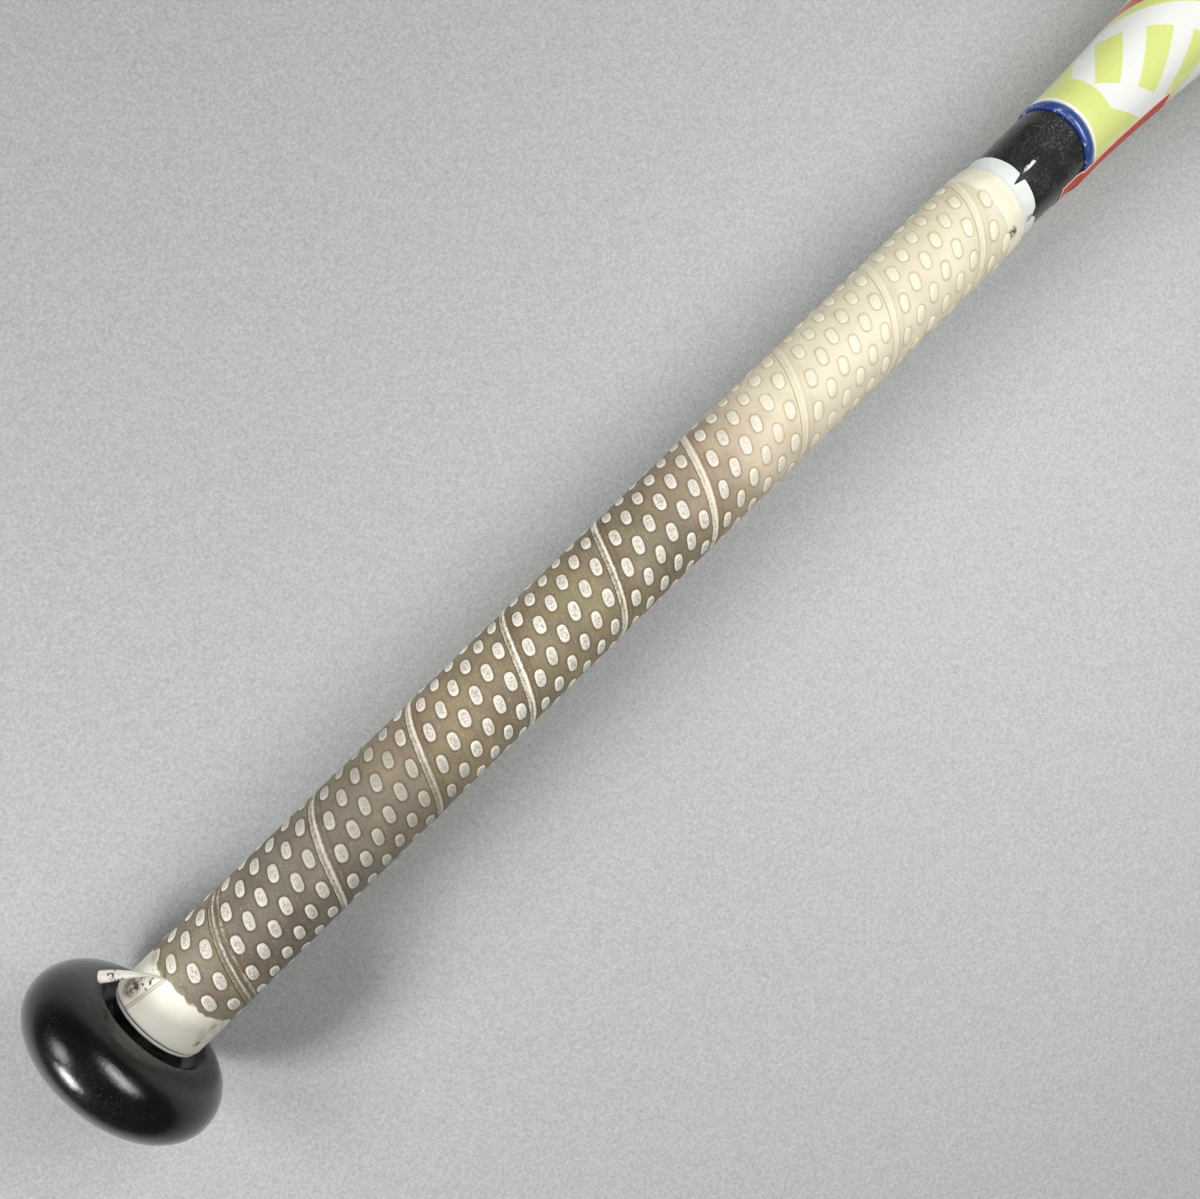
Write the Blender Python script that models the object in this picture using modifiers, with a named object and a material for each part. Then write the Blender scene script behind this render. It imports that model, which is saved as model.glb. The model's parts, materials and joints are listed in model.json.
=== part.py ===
"""Two-piece slowpitch softball bat, lying along +X, in metres.

The origin is the centre of the knob's flat base, on the bat's axis. +X runs to the end of the barrel and +Z is up.
Every turned piece is an outline of (place along the axis, radius) pairs, spun round the axis with a Screw modifier.
The grip strip is one section wound in a left-handed spiral and cut square at both ends.
"""

import math

import bmesh
import bpy
import numpy as np

MM = 0.001

# Driving sizes of the whole bat: 34 inches long, 2 1/4 inch barrel, 7/8 inch bare handle
LENGTH = 863.6 * MM
BARREL_RADIUS = 28.575 * MM
HANDLE_RADIUS = 11.1 * MM
FIT_GAP = 0.3 * MM

# Knob
KNOB_RADIUS = 26.9 * MM
KNOB_RIM_AT = 9.9 * MM
KNOB_BASE_FLAT_RADIUS = 14.0 * MM
KNOB_CREST_AT = 19.2 * MM
KNOB_CREST_RADIUS = 16.0 * MM
KNOB_NECK_AT = 17.4 * MM
KNOB_NECK_RADIUS = 13.2 * MM

# Plug in the knob's base
PLUG_FLANGE_RADIUS = 12.4 * MM
PLUG_FLANGE_THICKNESS = 2.0 * MM
PLUG_STEM_END = 16.0 * MM
PLUG_EDGE = 0.4 * MM

# Handle tube: slimmer under the grip, full size between grip and joint
GRIP_HANDLE_RADIUS_LOW = 10.45 * MM
GRIP_HANDLE_RADIUS_HIGH = 10.15 * MM
HANDLE_SWELL_START = 296.0 * MM
HANDLE_SWELL_END = 330.0 * MM
HANDLE_WALL = 2.0 * MM

# Grip
UNDERWRAP_START = 19.5 * MM
UNDERWRAP_END = 318.1 * MM
UNDERWRAP_THICKNESS = 0.25 * MM
UNDERWRAP_ROLL_WIDTH = 1.0 * MM
UNDERWRAP_ROLL_RADIUS = 12.2 * MM
WRAP_START = 20.8 * MM
WRAP_END = 303.5 * MM
WRAP_THICKNESS = 1.3 * MM
WRAP_PITCH = 31.71 * MM
WRAP_OVERLAP = 2.5 * MM
WRAP_EDGE_THICKNESS = 0.35 * MM
WRAP_SKIVE_LENGTH = 2.3 * MM
WRAP_LAP_GAP = 0.45 * MM
WRAP_BEAD_HEIGHT = 0.22 * MM
WRAP_BEAD_WIDTH = 4.6 * MM
WRAP_TOP_CROSSING = 14.2 * MM
WRAP_TURNS_WOUND = 11
FINISH_TAPE_START = 303.9 * MM
FINISH_TAPE_END = 313.2 * MM
FINISH_TAPE_RADIUS = 12.35 * MM
FINISH_TAPE_EDGE_RADIUS = 11.95 * MM

# Joint between handle and barrel
SHOULDER_AT = 336.9 * MM
COLLAR_WIDTH = 2.5 * MM
COLLAR_RADIUS = 11.8 * MM
SPIGOT_RADIUS = 8.3 * MM
SPIGOT_END_RADIUS = 7.6 * MM
SPIGOT_END = 404.0 * MM
BUSHING_END = 398.0 * MM

# Barrel shell: a taper that swells smoothly to the full diameter
TAPER_START = 340.0 * MM
TAPER_END = 527.0 * MM
MOUTH_RADIUS = 11.65 * MM
MOUTH_WALL = 1.75 * MM
BARREL_WALL = 3.2 * MM
BARREL_WALL_FULL_AT = 430.0 * MM
BARREL_SHELL_END = 858.0 * MM

# End cap
CAP_RADIUS = 28.3 * MM
CAP_FLAT_RADIUS = 15.0 * MM
CAP_SIDE_WIDTH = 0.5 * MM
CAP_SKIRT_START = 834.0 * MM
CAP_SKIRT_RADIUS = 24.2 * MM
CAP_SKIRT_WALL = 3.0 * MM
CAP_RIB_RADIUS = 25.0 * MM
CAP_RIB_WIDTH = 2.4 * MM
CAP_RIB_PITCH = 6.0 * MM
CAP_RIBS = 3
CAP_FACE_THICKNESS = 5.0 * MM

# Sides of the turned pieces
SLIM_SIDES = 40
WIDE_SIDES = 48
WRAP_STEPS_PER_TURN = 26


def smooth_step(t):
    """0 before t = 0, 1 after t = 1, and a smooth rise between."""
    t = min(max(t, 0.0), 1.0)
    return t * t * (3.0 - 2.0 * t)


def spread(start, end, count):
    """count numbers from start to end, both included."""
    return [start + (end - start) * i / (count - 1) for i in range(count)]


def quarter_ellipse(centre, half_sizes, start_angle, end_angle, count):
    """Points of an ellipse about centre, as (place, radius). Angle 0 points to the barrel, 90 degrees outwards."""
    points = []
    for angle in spread(math.radians(start_angle), math.radians(end_angle), count):
        place = centre[0] + half_sizes[0] * math.cos(angle)
        radius = centre[1] + half_sizes[1] * math.sin(angle)
        points.append((place, radius))
    return points


def handle_radius(place):
    """Outer radius of the handle tube outside the barrel."""
    along = (place - WRAP_START) / (HANDLE_SWELL_START - WRAP_START)
    along = min(max(along, 0.0), 1.0)
    slim = GRIP_HANDLE_RADIUS_LOW + (GRIP_HANDLE_RADIUS_HIGH - GRIP_HANDLE_RADIUS_LOW) * along
    swell = smooth_step((place - HANDLE_SWELL_START) / (HANDLE_SWELL_END - HANDLE_SWELL_START))
    return slim + (HANDLE_RADIUS - slim) * swell


def underwrap_radius(place):
    """Outer radius of the white tape under the grip."""
    return handle_radius(place) + FIT_GAP + UNDERWRAP_THICKNESS


def wrap_base_radius(place):
    """Radius on which the grip strip lies."""
    return underwrap_radius(place) + FIT_GAP


def barrel_radius(place):
    """Outer radius of the barrel shell."""
    rise = smooth_step((place - TAPER_START) / (TAPER_END - TAPER_START))
    return MOUTH_RADIUS + (BARREL_RADIUS - MOUTH_RADIUS) * rise


def barrel_bore_radius(place):
    """Inner radius of the barrel shell, whose wall thickens away from its mouth."""
    rise = smooth_step((place - TAPER_START) / (BARREL_WALL_FULL_AT - TAPER_START))
    return barrel_radius(place) - MOUTH_WALL - (BARREL_WALL - MOUTH_WALL) * rise


def spigot_radius(place):
    """Outer radius of the handle's spigot inside the barrel."""
    along = (place - SHOULDER_AT) / (SPIGOT_END - SHOULDER_AT)
    return SPIGOT_RADIUS + (SPIGOT_END_RADIUS - SPIGOT_RADIUS) * along


def new_collection(name):
    collection = bpy.data.collections.new(name)
    bpy.context.scene.collection.children.link(collection)
    return collection


def new_material(name, colour, roughness, metallic=0.0, coat=0.0):
    material = bpy.data.materials.new(name)
    material.use_nodes = True
    shader = material.node_tree.nodes["Principled BSDF"]
    shader.inputs["Base Color"].default_value = (*colour, 1.0)
    shader.inputs["Roughness"].default_value = roughness
    shader.inputs["Metallic"].default_value = metallic
    shader.inputs["Coat Weight"].default_value = coat
    return material


def turned(name, outline, sides, material, collection):
    """Spins an outline round the X axis. It runs along the outer side towards the barrel, then back inside.

    An outline that starts and ends on the axis makes a solid of full depth, any other closes on itself as a ring.
    """
    mesh = bpy.data.meshes.new(name)
    profile = bmesh.new()
    points = [profile.verts.new((radius, 0.0, place)) for place, radius in reversed(outline)]
    for first, second in zip(points, points[1:]):
        profile.edges.new((first, second))
    if outline[0][1] > 0.0:
        profile.edges.new((points[-1], points[0]))
    profile.to_mesh(mesh)
    profile.free()
    turned_object = bpy.data.objects.new(name, mesh)
    collection.objects.link(turned_object)
    turned_object.rotation_euler = (0.0, math.pi / 2, 0.0)
    screw = turned_object.modifiers.new("Spin", "SCREW")
    screw.axis = "Z"
    screw.angle = math.tau
    screw.steps = sides
    screw.render_steps = sides
    screw.use_merge_vertices = True
    screw.merge_threshold = 0.000001
    screw.use_smooth_shade = True
    mesh.materials.append(material)
    return turned_object


def knob_outline():
    base_side = quarter_ellipse(
        (KNOB_RIM_AT, KNOB_BASE_FLAT_RADIUS),
        (KNOB_RIM_AT, KNOB_RADIUS - KNOB_BASE_FLAT_RADIUS),
        180,
        90,
        9,
    )
    grip_side = quarter_ellipse(
        (KNOB_RIM_AT, KNOB_CREST_RADIUS),
        (KNOB_CREST_AT - KNOB_RIM_AT, KNOB_RADIUS - KNOB_CREST_RADIUS),
        90,
        0,
        9,
    )
    dish_depth = KNOB_CREST_AT - KNOB_NECK_AT
    dish_width = KNOB_CREST_RADIUS - KNOB_NECK_RADIUS
    dish = [
        (KNOB_CREST_AT - 0.1 * dish_depth, KNOB_CREST_RADIUS - 0.25 * dish_width),
        (KNOB_CREST_AT - 0.45 * dish_depth, KNOB_CREST_RADIUS - 0.5 * dish_width),
        (KNOB_CREST_AT - 0.85 * dish_depth, KNOB_CREST_RADIUS - 0.75 * dish_width),
        (KNOB_NECK_AT, KNOB_NECK_RADIUS),
    ]
    bore = GRIP_HANDLE_RADIUS_LOW + FIT_GAP
    seat = PLUG_FLANGE_THICKNESS + FIT_GAP
    seat_radius = PLUG_FLANGE_RADIUS + FIT_GAP
    inside = [(KNOB_NECK_AT, bore), (seat, bore), (seat, seat_radius), (0.0, seat_radius)]
    return base_side + grip_side[1:] + dish + inside


def plug_outline():
    stem_radius = GRIP_HANDLE_RADIUS_LOW - HANDLE_WALL - FIT_GAP
    return [
        (0.0, 0.0),
        (0.0, PLUG_FLANGE_RADIUS - PLUG_EDGE),
        (PLUG_EDGE, PLUG_FLANGE_RADIUS),
        (PLUG_FLANGE_THICKNESS, PLUG_FLANGE_RADIUS),
        (PLUG_FLANGE_THICKNESS, stem_radius),
        (PLUG_STEM_END - 2 * PLUG_EDGE, stem_radius),
        (PLUG_STEM_END, stem_radius - 2 * PLUG_EDGE),
        (PLUG_STEM_END, 0.0),
    ]


def handle_outline():
    start = PLUG_FLANGE_THICKNESS + FIT_GAP
    edge = 0.4 * MM
    gripped = [(place, handle_radius(place)) for place in (start, WRAP_START, HANDLE_SWELL_START)]
    swell = [(place, handle_radius(place)) for place in spread(HANDLE_SWELL_START, HANDLE_SWELL_END, 7)]
    shoulder = [(SHOULDER_AT - edge, HANDLE_RADIUS), (SHOULDER_AT, HANDLE_RADIUS - edge)]
    spigot = [(place, spigot_radius(place)) for place in (SHOULDER_AT, SPIGOT_END - edge)]
    end = [(SPIGOT_END, SPIGOT_END_RADIUS - edge), (SPIGOT_END, SPIGOT_END_RADIUS - HANDLE_WALL)]
    throat = [(SHOULDER_AT, SPIGOT_RADIUS - HANDLE_WALL)]
    bore_radius = GRIP_HANDLE_RADIUS_HIGH - HANDLE_WALL
    bore = [(HANDLE_SWELL_START, bore_radius), (WRAP_START, GRIP_HANDLE_RADIUS_LOW - HANDLE_WALL)]
    mouth = [(start, GRIP_HANDLE_RADIUS_LOW - HANDLE_WALL)]
    return gripped + swell[1:] + shoulder + spigot + end + throat + bore + mouth


def underwrap_outline():
    """A thin sleeve with a rolled edge at the knob, which shows as a white line before the grip."""
    roll_end = UNDERWRAP_START + UNDERWRAP_ROLL_WIDTH
    edge = 0.25 * MM
    roll = [
        (UNDERWRAP_START, UNDERWRAP_ROLL_RADIUS - edge),
        (UNDERWRAP_START + edge, UNDERWRAP_ROLL_RADIUS),
        (roll_end - edge, UNDERWRAP_ROLL_RADIUS),
        (roll_end, UNDERWRAP_ROLL_RADIUS - edge),
        (roll_end, underwrap_radius(roll_end)),
    ]
    places = [HANDLE_SWELL_START] + spread(HANDLE_SWELL_START, UNDERWRAP_END, 6)[1:]
    sleeve = [(place, underwrap_radius(place)) for place in places]
    inside = [(place, handle_radius(place) + FIT_GAP) for place in reversed(places)]
    return roll + sleeve + inside + [(UNDERWRAP_START, handle_radius(UNDERWRAP_START) + FIT_GAP)]


def finish_tape_outline():
    width = FINISH_TAPE_END - FINISH_TAPE_START
    edge = 0.3 * MM
    outside = [
        (FINISH_TAPE_START, FINISH_TAPE_RADIUS - edge),
        (FINISH_TAPE_START + edge, FINISH_TAPE_RADIUS),
        (FINISH_TAPE_START + 0.5 * width, FINISH_TAPE_RADIUS - 0.05 * MM),
        (FINISH_TAPE_START + 0.8 * width, 0.5 * (FINISH_TAPE_RADIUS + FINISH_TAPE_EDGE_RADIUS)),
        (FINISH_TAPE_END - edge, FINISH_TAPE_EDGE_RADIUS),
        (FINISH_TAPE_END, FINISH_TAPE_EDGE_RADIUS - edge),
    ]
    inside = [(place, wrap_base_radius(place)) for place in spread(FINISH_TAPE_END, FINISH_TAPE_START, 4)]
    return outside + inside


def collar_outline():
    """A rounded ring, seated between the handle's shoulder and the barrel's mouth."""
    start = SHOULDER_AT + FIT_GAP
    end = start + COLLAR_WIDTH
    roundness = 0.5 * COLLAR_WIDTH
    crown = quarter_ellipse(
        (start + roundness, COLLAR_RADIUS - 0.45 * roundness), (roundness, 0.45 * roundness), 180, 0, 9
    )
    return crown + [(end, spigot_radius(end) + FIT_GAP), (start, spigot_radius(start) + FIT_GAP)]


def bushing_outline():
    start = TAPER_START + FIT_GAP
    places = spread(start, BUSHING_END, 8)
    outside = [(place, barrel_bore_radius(place) - FIT_GAP) for place in places]
    return outside + [(place, spigot_radius(place) + FIT_GAP) for place in (BUSHING_END, start)]


def barrel_outline():
    edge = 0.5 * MM
    mouth = [
        (TAPER_START, barrel_bore_radius(TAPER_START) + edge),
        (TAPER_START, MOUTH_RADIUS - edge),
        (TAPER_START + edge, MOUTH_RADIUS),
    ]
    places = spread(TAPER_START, TAPER_END, 13)[1:]
    outside = [(place, barrel_radius(place)) for place in places]
    end = [
        (BARREL_SHELL_END - edge, BARREL_RADIUS),
        (BARREL_SHELL_END, BARREL_RADIUS - edge),
        (BARREL_SHELL_END, BARREL_RADIUS - BARREL_WALL),
    ]
    inside = [(place, barrel_bore_radius(place)) for place in reversed(places)]
    return mouth + outside + end + inside + [(TAPER_START + edge, barrel_bore_radius(TAPER_START))]


def cap_outline():
    """A domed face with a flat middle, and a hollow skirt whose ribs grip the bore of the barrel."""
    seat = BARREL_SHELL_END + FIT_GAP
    side_end = seat + CAP_SIDE_WIDTH
    dome = quarter_ellipse(
        (side_end, CAP_FLAT_RADIUS),
        (LENGTH - side_end, CAP_RADIUS - CAP_FLAT_RADIUS),
        90,
        0,
        8,
    )
    skirt = [(CAP_SKIRT_START, CAP_SKIRT_RADIUS - CAP_SKIRT_WALL), (CAP_SKIRT_START, CAP_SKIRT_RADIUS)]
    for rib in range(CAP_RIBS):
        foot = CAP_SKIRT_START + (rib + 0.4) * CAP_RIB_PITCH
        skirt.append((foot, CAP_SKIRT_RADIUS))
        skirt.append((foot + 0.7 * CAP_RIB_WIDTH, CAP_RIB_RADIUS))
        skirt.append((foot + CAP_RIB_WIDTH, CAP_RIB_RADIUS))
        skirt.append((foot + 1.1 * CAP_RIB_WIDTH, CAP_SKIRT_RADIUS))
    flange = [(seat, CAP_SKIRT_RADIUS), (seat, CAP_RADIUS)]
    cup_floor = LENGTH - CAP_FACE_THICKNESS
    cup = [(cup_floor, 0.0), (cup_floor, CAP_SKIRT_RADIUS - CAP_SKIRT_WALL)]
    return cup + skirt + flange + dome + [(LENGTH, 0.0)]


def wrap_section():
    """The strip's section as (place from its knob-side edge, height over its base), round the outside and back.

    Its knob-side edge is lifted, to lie over the skived edge of the turn before it, with a low bead on top.
    """
    width = WRAP_PITCH + WRAP_OVERLAP
    full = WRAP_THICKNESS
    skive_end = width - WRAP_SKIVE_LENGTH
    skive_start = skive_end - WRAP_SKIVE_LENGTH
    lift = WRAP_EDGE_THICKNESS + WRAP_LAP_GAP
    outside = [
        (0.0, full),
        (0.08 * WRAP_BEAD_WIDTH, full + 0.9 * WRAP_BEAD_HEIGHT),
        (0.26 * WRAP_BEAD_WIDTH, full + WRAP_BEAD_HEIGHT),
        (0.65 * WRAP_BEAD_WIDTH, full + 0.35 * WRAP_BEAD_HEIGHT),
        (WRAP_BEAD_WIDTH, full),
        (skive_start, full),
        (skive_end, WRAP_EDGE_THICKNESS),
        (width, WRAP_EDGE_THICKNESS),
    ]
    inside = [
        (width, 0.0),
        (1.4 * WRAP_OVERLAP, 0.0),
        (1.16 * WRAP_OVERLAP, lift),
        (0.2 * WRAP_OVERLAP, lift + 0.1 * WRAP_BEAD_HEIGHT),
        (0.0, lift + 0.9 * WRAP_BEAD_HEIGHT),
    ]
    return outside + inside


def densified(points, step):
    """A closed outline with extra points, at most step apart."""
    dense = []
    for first, second in zip(points, points[1:] + points[:1]):
        count = max(1, math.ceil(math.dist(first, second) / step))
        for i in range(count):
            share = i / count
            dense.append([a + (b - a) * share for a, b in zip(first, second)])
    return np.array(dense)


def least_gap_between_turns(base_radius):
    """Smallest distance, on points, from one turn of the strip to the next."""
    section = densified(wrap_section(), 0.1 * MM)
    near_edge = section[section[:, 0] < WRAP_OVERLAP + 3.0 * MM]
    far_edge = section[section[:, 0] > WRAP_PITCH - 3.0 * MM]
    far_points = np.column_stack([far_edge[:, 0], 0.0 * far_edge[:, 1], base_radius + far_edge[:, 1]])
    least = math.inf
    for angle in np.linspace(-0.3, 0.3, 61):
        places = near_edge[:, 0] + WRAP_PITCH * (1.0 + angle / math.tau)
        radii = base_radius + near_edge[:, 1]
        near_points = np.column_stack([places, radii * math.sin(angle), radii * math.cos(angle)])
        gaps = np.linalg.norm(far_points[:, None, :] - near_points[None, :, :], axis=2)
        least = min(least, float(gaps.min()))
    return least


def wound_strip(name, material, collection, cutters):
    """Winds the section with a Screw, lets it follow the handle, and cuts both ends square."""
    base_radius = wrap_base_radius(WRAP_START)
    first_place = WRAP_TOP_CROSSING - 1.5 * WRAP_PITCH
    profile = bmesh.new()
    points = []
    for place, height in wrap_section():
        points.append(profile.verts.new((base_radius + height, 0.0, first_place + place)))
    for first, second in zip(points, points[1:] + points[:1]):
        profile.edges.new((first, second))
    profile_mesh = bpy.data.meshes.new(name + "_section")
    profile.to_mesh(profile_mesh)
    profile.free()
    winder = bpy.data.objects.new(name + "_winder", profile_mesh)
    cutters.objects.link(winder)
    screw = winder.modifiers.new("Wind", "SCREW")
    screw.axis = "Z"
    screw.angle = -math.tau
    screw.screw_offset = WRAP_PITCH
    screw.iterations = WRAP_TURNS_WOUND
    screw.steps = WRAP_STEPS_PER_TURN
    screw.render_steps = WRAP_STEPS_PER_TURN
    bpy.context.view_layer.update()
    wound = bpy.data.meshes.new_from_object(winder.evaluated_get(bpy.context.evaluated_depsgraph_get()))
    wound.name = name
    bpy.data.objects.remove(winder)

    strip = bmesh.new()
    strip.from_mesh(wound)
    bmesh.ops.remove_doubles(strip, verts=strip.verts, dist=0.000001)
    open_edges = [edge for edge in strip.edges if edge.is_boundary]
    bmesh.ops.holes_fill(strip, edges=open_edges, sides=0)
    for vert in strip.verts:
        radius = math.hypot(vert.co.x, vert.co.y)
        place = min(max(vert.co.z, WRAP_START), WRAP_END)
        scale = (radius + wrap_base_radius(place) - base_radius) / radius
        vert.co.x *= scale
        vert.co.y *= scale
    bmesh.ops.recalc_face_normals(strip, faces=strip.faces)
    strip.to_mesh(wound)
    strip.free()
    wound.materials.clear()
    wound.materials.append(material)
    wound.shade_smooth()
    wound.set_sharp_from_angle(angle=math.radians(35))
    wrap = bpy.data.objects.new(name, wound)
    wrap.rotation_euler = (0.0, math.pi / 2, 0.0)
    collection.objects.link(wrap)

    bpy.ops.mesh.primitive_cylinder_add(
        vertices=SLIM_SIDES,
        radius=1.5 * HANDLE_RADIUS,
        depth=WRAP_END - WRAP_START,
        location=(0.5 * (WRAP_START + WRAP_END), 0.0, 0.0),
        rotation=(0.0, math.pi / 2, 0.0),
    )
    block = bpy.context.object
    block.name = name + "_trim_block"
    for owner in list(block.users_collection):
        owner.objects.unlink(block)
    cutters.objects.link(block)
    block.hide_render = True
    block.display_type = "WIRE"
    trim = wrap.modifiers.new("Trim ends square", "BOOLEAN")
    trim.operation = "INTERSECT"
    trim.solver = "EXACT"
    trim.object = block
    return wrap


def build():
    for old in list(bpy.data.objects):
        bpy.data.objects.remove(old)
    bat = new_collection("softball_bat")
    cutters = new_collection("cutters")

    gloss_black = new_material("Knob gloss black composite", (0.012, 0.012, 0.014), 0.18, coat=0.6)
    plug_rubber = new_material("Plug moulded rubber", (0.02, 0.02, 0.022), 0.7)
    handle_black = new_material("Handle lacquered carbon composite", (0.01, 0.011, 0.012), 0.22, coat=0.5)
    white_tape = new_material("Underwrap white cloth tape", (0.80, 0.84, 0.86), 0.75)
    grip_cream = new_material("Grip strip embossed polyurethane", (0.42, 0.37, 0.30), 0.65)
    cream_tape = new_material("Finish tape cream vinyl", (0.82, 0.76, 0.62), 0.55)
    collar_blue = new_material("Collar blue urethane", (0.035, 0.07, 0.30), 0.35)
    bushing_grey = new_material("Bushing cast elastomer", (0.10, 0.10, 0.11), 0.6)
    barrel_paint = new_material("Barrel lime gloss paint", (0.68, 0.80, 0.16), 0.15, coat=0.8)
    cap_black = new_material("End cap moulded urethane", (0.015, 0.015, 0.016), 0.45)

    turned("knob", knob_outline(), SLIM_SIDES, gloss_black, bat)
    turned("knob_plug", plug_outline(), SLIM_SIDES, plug_rubber, bat)
    turned("handle_tube", handle_outline(), SLIM_SIDES, handle_black, bat)
    turned("grip_underwrap", underwrap_outline(), SLIM_SIDES, white_tape, bat)
    wound_strip("grip_wrap", grip_cream, bat, cutters)
    turned("grip_finish_tape", finish_tape_outline(), SLIM_SIDES, cream_tape, bat)
    turned("joint_collar", collar_outline(), SLIM_SIDES, collar_blue, bat)
    turned("joint_bushing", bushing_outline(), SLIM_SIDES, bushing_grey, bat)
    turned("barrel_shell", barrel_outline(), WIDE_SIDES, barrel_paint, bat)
    turned("end_cap", cap_outline(), WIDE_SIDES, cap_black, bat)

    least = least_gap_between_turns(wrap_base_radius(WRAP_START))
    print(f"grip strip: least gap from one turn to the next {least / MM:.2f} mm")


build()
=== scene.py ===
"""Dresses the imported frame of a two-piece slowpitch softball bat for rendering.

The bat lies along +X, with the centre of its knob's base at the origin, as the frame has it.
Turned pieces are spun from outlines of (place along the axis, radius) pairs. The grip strip is wound
round the handle as a left-handed spiral, and its raised ovals come from a Geometry Nodes tree.
Angles round the bat start at the top (+Z) and grow towards +Y.
"""

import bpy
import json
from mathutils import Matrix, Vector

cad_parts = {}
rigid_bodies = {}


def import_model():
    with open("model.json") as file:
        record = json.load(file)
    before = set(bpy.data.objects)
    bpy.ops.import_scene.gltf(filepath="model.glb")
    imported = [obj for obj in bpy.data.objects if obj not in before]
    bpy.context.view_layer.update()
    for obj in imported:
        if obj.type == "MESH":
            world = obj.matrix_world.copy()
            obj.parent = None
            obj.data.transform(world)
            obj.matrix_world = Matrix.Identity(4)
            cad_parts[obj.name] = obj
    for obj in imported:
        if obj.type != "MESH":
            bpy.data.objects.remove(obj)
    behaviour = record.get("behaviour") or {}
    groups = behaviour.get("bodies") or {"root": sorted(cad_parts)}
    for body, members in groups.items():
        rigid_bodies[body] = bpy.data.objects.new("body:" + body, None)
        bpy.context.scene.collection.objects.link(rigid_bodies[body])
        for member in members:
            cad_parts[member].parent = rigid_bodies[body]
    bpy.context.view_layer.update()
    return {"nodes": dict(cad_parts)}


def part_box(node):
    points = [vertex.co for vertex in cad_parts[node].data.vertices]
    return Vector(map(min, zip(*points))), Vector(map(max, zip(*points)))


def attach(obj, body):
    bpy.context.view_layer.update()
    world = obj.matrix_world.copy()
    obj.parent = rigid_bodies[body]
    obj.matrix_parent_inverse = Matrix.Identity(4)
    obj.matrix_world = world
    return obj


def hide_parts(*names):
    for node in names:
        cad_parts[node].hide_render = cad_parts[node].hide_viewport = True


bl_info = {
    "name": "Softball bat looks",
    "version": (1, 0, 0),
    "blender": (4, 5, 0),
    "location": "3D View > Sidebar > Bat",
    "description": "Builds the finished surfaces of a softball bat round its packed frame",
    "category": "Object",
}

import json
import math
from functools import partial

import bmesh
import bpy
import numpy as np
from mathutils import Matrix, Vector

for startup_object in list(bpy.data.objects):
    bpy.data.objects.remove(startup_object)
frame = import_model()

MM = 0.001


def span(node):
    """(start, end, radius) of a turned CAD node."""
    low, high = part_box(node)
    return low.x, high.x, high.z


KNOB_START, KNOB_CREST_AT, KNOB_RADIUS = span("knob")
_, PLUG_END, PLUG_RADIUS = span("knob_plug")
UNDERWRAP_START, UNDERWRAP_END, UNDERWRAP_ROLL_RADIUS = span("grip_underwrap")
STRIP_START, STRIP_END, _ = span("grip_wrap")
FINISH_START, FINISH_END, FINISH_RADIUS = span("grip_finish_tape")
COLLAR_START, COLLAR_END, COLLAR_RADIUS = span("joint_collar")
BARREL_START, BARREL_END, BARREL_RADIUS = span("barrel_shell")
CAP_SKIRT_START, BAT_END, CAP_RADIUS = span("end_cap")
FLOOR_HEIGHT = -BARREL_RADIUS
BAT_MIDDLE = 0.5 * (KNOB_START + BAT_END)

# Knob and plug
FIT_GAP = 0.3 * MM
KNOB_RIM_AT = 9.9 * MM
KNOB_BASE_FLAT_RADIUS = 14.0 * MM
KNOB_CREST_RADIUS = 16.0 * MM
KNOB_NECK_AT = 17.4 * MM
KNOB_NECK_RADIUS = 13.2 * MM
PLUG_THICKNESS = 2.0 * MM

# Handle tube
HANDLE_LOW_RADIUS = 10.45 * MM
HANDLE_HIGH_RADIUS = 10.15 * MM
HANDLE_RADIUS = 11.1 * MM
SWELL_START = 296.0 * MM
SWELL_END = 330.0 * MM
HANDLE_WALL = 2.0 * MM
SHOULDER_AT = COLLAR_START - FIT_GAP
SPIGOT_RADIUS = 8.3 * MM
SPIGOT_END_RADIUS = 7.6 * MM
SPIGOT_END = 404.0 * MM

# Grip
UNDERWRAP_THICKNESS = 0.25 * MM
UNDERWRAP_ROLL_WIDTH = 1.0 * MM
STRIP_THICKNESS = 1.3 * MM
STRIP_OVERLAP = 2.5 * MM
STRIP_TOP_CROSSING = 14.2 * MM
STRIP_EDGE_AT = -0.95 * MM
STRIP_UNROLL_RADIUS = 12.6 * MM
STRIP_STEPS_PER_TURN = 112
BARE_BAND_END = 32.0 * MM
# The painted shade round the ovals' feet starts here
OVAL_FOOT_SHADE_START = 33.4 * MM
OVALS_END = 308.6 * MM
# The finish band is drawn thin over the strip's last turn, so the strip shows to here and the band from here
STRIP_SHOWS_TO = FINISH_START + 3.3 * MM
BAND_SHOWS_FROM = FINISH_START + 2.8 * MM
# The wrap strays from an even pitch: (from, to) along the bat, and how far it has strayed before and after
WRAP_STRAYS = ((75.0 * MM, 85.0 * MM, -0.6 * MM, 0.0), (229.0 * MM, 243.0 * MM, 0.0, 1.3 * MM))

# Raised ovals: a lattice on the flat strip, whose pitch drifts a little from turn to turn
FIRST_ROW_FROM_EDGE = 3.93 * MM
LATTICE_OFFSET = -0.16 * MM
ROW_STAGGER = 0.487
FIRST_ROW_SHIFT = 1.75 - 2.5 * ROW_STAGGER
DRIFT_PEAK = 1.0 * MM
DRIFT_FALL = 0.68 * MM
DRIFT_TURN = 3.8
OVALS_BEFORE_START = 8
OVALS_PER_ROW = 110
OVAL_FULLNESS = 2.8
OVAL_SINK = 0.03 * MM
OVAL_SEED = 7

# Worn places, in mm along the bat and degrees round it
UNDERWRAP_NICK_ANGLE = -1.0
UNDERWRAP_FRAYED_AT, UNDERWRAP_FRAYED_ANGLE = 315.8 * MM, -52.0
BAND_TORN_AT, BAND_TORN_ANGLE = 308.3 * MM, -45.0
SHAFT_STREAK_AT, SHAFT_STREAK_ANGLE = 321.8 * MM, 2.5

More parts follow.
